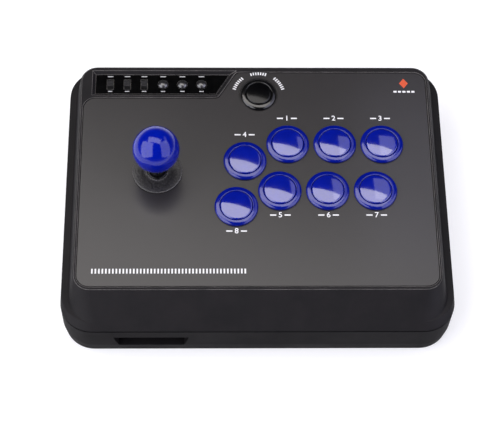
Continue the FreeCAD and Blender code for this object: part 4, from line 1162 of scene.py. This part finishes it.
    def ticks(self, name: str, points: list[Vector], tick: Point, fan_centre: Vector | None) -> None:
        """Prints ticks as one piece.

        Args:
            name: The piece's name.
            points: The middle of each tick, in metres.
            tick: Width and height of a tick in millimetres.
            fan_centre: The point that the ticks fan out from, or None for upright ticks.
        """
        centre = fan_centre or Vector((0, 0, 0))
        self.tick_tree().bake(name, points, {
            "Tick width": tick[0] * MM, "Tick height": tick[1] * MM, "Ink thickness": self.ink * MM,
            "Fanned": 1.0 if fan_centre else 0.0, "Centre x": centre.x, "Centre y": centre.y},
            WHITE_INK, "case")

    def start_ticks(self) -> None:
        """Three groups of ticks on a ring round the start button."""
        centre = centre_of("start_rim")
        points = []
        for group in self.ring_groups_deg:
            for step in range(self.ring_ticks):
                turn = math.radians(group + (step - self.ring_ticks // 2) * self.ring_step_deg)
                points.append(self.on_face(centre.x / MM + self.ring * math.sin(turn),
                                           centre.y / MM + self.ring * math.cos(turn), self.panel))
        self.ticks("start_ring_ticks", points, self.ring_tick, centre)

    def rule(self) -> None:
        """A plain row of upright ticks along the front of the panel, at the left."""
        first, last = self.row_ends
        pitch = (last - first) / (self.row_ticks - 1)
        points = [self.on_face(first + pitch * step, self.row_back, self.panel)
                  for step in range(self.row_ticks)]
        self.ticks("front_rule_ticks", points, self.row_tick, None)

    def diamond(self) -> None:
        """A plain diamond over a row of short bars, near the back right-hand corner."""
        x, y = self.diamond_at
        reach_x, reach_y = self.diamond_half
        corners = [(x + reach_x, y), (x, y + reach_y), (x - reach_x, y), (x, y - reach_y)]
        made = bmesh.new()
        bottom = [made.verts.new(Vector((*corner, self.panel)) * MM) for corner in corners]
        upper = [made.verts.new(Vector((*corner, self.panel + self.ink)) * MM) for corner in corners]
        made.faces.new(upper)
        made.faces.new(list(reversed(bottom)))
        for step in range(4):
            made.faces.new((bottom[step], bottom[(step + 1) % 4], upper[(step + 1) % 4], upper[step]))
        finished("corner_diamond", made, ORANGE_INK, "case")
        under = bmesh.new()
        for step in range(self.under_bars):
            shift = (step - self.under_bars // 2) * self.under_pitch
            self.dash(under, self.on_face(x + shift, y - self.under_drop, self.panel), self.under_half)
        finished("corner_bars", under, WHITE_INK, "case")

    def strip_marks(self) -> None:
        """Small dashes above and below every control on the strip."""
        made = bmesh.new()
        places = [centre_of(f"{kind}_{number}") for kind in ("slide_knob", "function_button")
                  for number in STRIP_CONTROLS]
        for at in places:
            for offset, half in self.dash_rows:
                self.dash(made, self.on_face(at.x / MM, at.y / MM + offset, self.strip),
                          (half, self.dash_half))
        finished("strip_dashes", made, GREY_INK, "case")


# ---- whole object, stage and camera --------------------------------------------------------------

@dataclass
class ControlPanel:
    """The whole joystick panel.

    Attributes:
        panel_seat: The height of the panel, which the play buttons sit on.
        start_seat: The height of the sunk face that the start button sits on.
    """

    panel_seat: float = 54.0
    start_seat: float = 53.2

    def build(self) -> None:
        """Dresses the carried-over CAD pieces and builds the rest."""
        for finish, nodes in CARRIED_OVER.items():
            for node in nodes:
                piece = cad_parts[node]
                piece.data.materials.clear()
                piece.data.materials.append(finish.material())
                LOG.info("%s: CAD mesh, %s", node, finish.name)
        for number in PLAY_BUTTONS:
            SnapButton(f"button_rim_{number}", f"button_plunger_{number}", f"button_{number}", BUTTON_ABS,
                       PLUNGER_ABS, seat=self.panel_seat, barrel=14.95, cap_radius=12.05,
                       dome_radius=66.0, dome_rise=1.1).build()
        SnapButton("start_rim", "start_plunger", "start", GLOSS_ABS, START_CAP_SHADED_ABS, seat=self.start_seat,
                   barrel=11.95, cap_radius=9.8, dome_radius=59.4, dome_rise=0.8).build()
        Lever().build()
        FunctionKeys().build()
        Underside().build()
        PrintedMarks().build()


@dataclass(frozen=True)
class Softbox:
    """A large soft lamp on a sphere round the object.

    Attributes:
        name: The lamp's name.
        left_deg: How far it is to the left of the camera, about the camera's up direction.
        up_deg: How far it is above the camera.
        roll_deg: How far it is turned about its own middle.
        width: Its width in metres.
        height: Its height in metres.
        radiance: How bright its face is, where 1 is white.
        colour: Its colour.
    """

    name: str
    left_deg: float
    up_deg: float
    roll_deg: float
    width: float
    height: float
    radiance: float
    colour: str


SOFTBOXES = (
    Softbox("left_softbox", 45.0, -2.0, -6.0, 1.9, 2.3, 3.3, "F6F6FF"),
    Softbox("right_softbox", -49.0, 0.0, 12.0, 1.5, 2.5, 2.3, "E8E8FF"),
    Softbox("overhead_softbox", 9.0, 43.6, -9.0, 1.8, 0.76, 3.6, "FFFBF8"),
)


@dataclass
class Studio:
    """A pale floor, three large soft lamps, a small near one and the camera.

    Attributes:
        aim: The point that the lamps face, in metres.
        lamp_distance: From that point to each large lamp, in metres.
        camera_at: Where the camera is, in metres.
        camera_rise_deg: How far it looks down.
        camera_yaw_deg: How far it is turned to the right.
        camera_roll_deg: How far it is tipped about its own axis.
        lens_mm: The lens that it has, for a sensor 36 mm wide.
        card_at: Where the small lamp hangs, in metres.
        card_size: Its width and depth in metres.
        floor_lift: How much light the floor adds where the camera or a gloss sees it.
    """

    aim: Vector = field(default_factory=lambda: Vector((0, 0, 0.05)))
    camera_at: Vector = field(default_factory=lambda: Vector((-0.0350, -0.5600, 1.0672)))
    camera_rise_deg: float = 62.245
    camera_yaw_deg: float = 2.570
    camera_roll_deg: float = 2.249
    lens_mm: float = 114.11
    lamp_distance: float = 1.7
    card_at: Vector = field(default_factory=lambda: Vector((0.172, 0.16, 0.325)))
    card_size: Point = (0.12, 0.22)
    floor_lift: float = 0.52

    def build(self) -> None:
        """Makes the stage, the lamps, the world and the camera."""
        self.floor()
        self.camera()
        for softbox in SOFTBOXES:
            self.hang_softbox(softbox)
        self.hang("near_card", self.card_size, 1.0, "E6E6FF", Matrix.Translation(self.card_at))
        self.room()
        bpy.context.scene.view_settings.view_transform = "Standard"

    def room(self) -> None:
        """A dim room with a pale band along the horizon, as round a table sweep."""
        world = bpy.data.worlds.new("room")
        bpy.context.scene.world = world
        world.use_nodes = True
        tree = world.node_tree
        towards = add(tree, "ShaderNodeTexCoord").outputs["Generated"]
        height = add(tree, "ShaderNodeSeparateXYZ", links={0: towards}).outputs["Z"]
        ramp = add(tree, "ShaderNodeValToRGB", links={"Fac": height})
        ramp.color_ramp.elements[0].position = 0.10
        ramp.color_ramp.elements[0].color = (0.16, 0.16, 0.165, 1)
        ramp.color_ramp.elements[1].position = 0.26
        ramp.color_ramp.elements[1].color = (0.02, 0.02, 0.022, 1)
        tree.links.new(ramp.outputs["Color"], tree.nodes["Background"].inputs["Color"])

    def floor(self) -> None:
        """A wide pale floor that looks white, and keeps the object's shadow."""
        shape = bmesh.new()
        bmesh.ops.create_grid(shape, x_segments=1, y_segments=1, size=12.0)
        mesh = bpy.data.meshes.new("floor")
        shape.to_mesh(mesh)
        shape.free()
        ground = bpy.data.objects.new("floor", mesh)
        bpy.context.scene.collection.objects.link(ground)
        made = bpy.data.materials.new("white_paper_sweep")
        made.use_nodes = True
        tree = made.node_tree
        shader = tree.nodes["Principled BSDF"]
        shader.inputs["Base Color"].default_value = linear("C4C4C4")
        shader.inputs["Roughness"].default_value = 0.9
        shader.inputs["Emission Color"].default_value = (1, 1, 1, 1)
        rays = add(tree, "ShaderNodeLightPath")
        seen = add(tree, "ShaderNodeMath", links={
            0: rays.outputs["Is Camera Ray"], 1: rays.outputs["Is Glossy Ray"]}, operation="MAXIMUM")
        shown = add(tree, "ShaderNodeMath", links={
            0: seen.outputs[0], 1: rays.outputs["Is Transmission Ray"]}, operation="MAXIMUM")
        lift = add(tree, "ShaderNodeMath", {1: self.floor_lift}, {0: shown.outputs[0]}, operation="MULTIPLY")
        tree.links.new(lift.outputs[0], shader.inputs["Emission Strength"])
        mesh.materials.append(made)

    def axes(self) -> tuple[Vector, Vector, Vector]:
        """Works out how the camera is turned.

        Returns:
            Its right, up and forward directions.
        """
        rise, yaw, roll = (math.radians(angle) for angle in (
            self.camera_rise_deg, self.camera_yaw_deg, self.camera_roll_deg))
        forward = Vector((math.sin(yaw) * math.cos(rise), math.cos(yaw) * math.cos(rise), -math.sin(rise)))
        level = Vector((math.cos(yaw), -math.sin(yaw), 0))
        over = level.cross(forward)
        right = level * math.cos(roll) + over * math.sin(roll)
        up = over * math.cos(roll) - level * math.sin(roll)
        return right, up, forward

    def camera(self) -> None:
        """The camera, at the height and turn of a person's view from the front."""
        right, up, forward = self.axes()
        data = bpy.data.cameras.new("camera")
        data.lens = self.lens_mm
        data.sensor_width = 36.0
        data.sensor_fit = "HORIZONTAL"
        data.clip_start, data.clip_end = 0.05, 60.0
        camera = bpy.data.objects.new("camera", data)
        bpy.context.scene.collection.objects.link(camera)
        turn = Matrix((right, up, -forward)).transposed()
        camera.matrix_world = Matrix.Translation(self.camera_at) @ turn.to_4x4()
        bpy.context.scene.camera = camera

    def hang_softbox(self, softbox: Softbox) -> None:
        """Hangs a large lamp so that it faces the object.

        Args:
            softbox: The lamp's place, size and light.
        """
        right, up, forward = self.axes()
        side, rise = math.radians(softbox.left_deg), math.radians(softbox.up_deg)
        towards = (-forward * math.cos(side) - right * math.sin(side)) * math.cos(rise)
        towards = (towards + up * math.sin(rise)).normalized()
        across = up.cross(towards).normalized()
        above = towards.cross(across)
        turn = Matrix((across, above, towards)).transposed().to_4x4()
        placed = (Matrix.Translation(self.aim + towards * self.lamp_distance) @ turn
                  @ Matrix.Rotation(math.radians(softbox.roll_deg), 4, "Z"))
        self.hang(softbox.name, (softbox.width, softbox.height), softbox.radiance, softbox.colour, placed)

    def hang(self, name: str, size: Point, radiance: float, colour: str, placed: Matrix) -> None:
        """Makes an area lamp that the camera doesn't see.

        Args:
            name: The lamp's name.
            size: Its width and height in metres.
            radiance: How bright its face is, where 1 is white.
            colour: Its colour.
            placed: Its place and turn.
        """
        data = bpy.data.lights.new(name, "AREA")
        data.shape = "RECTANGLE"
        data.size, data.size_y = size
        data.energy = radiance * math.pi * size[0] * size[1]
        data.color = linear(colour)[:3]
        lamp = bpy.data.objects.new(name, data)
        bpy.context.scene.collection.objects.link(lamp)
        lamp.matrix_world = placed
        lamp.visible_camera = False


def main() -> None:
    """Builds the object and its stage."""
    logging.basicConfig(level=logging.INFO, format="%(name)s %(message)s")
    ControlPanel().build()
    Studio().build()


if __name__ == "__main__":
    main()
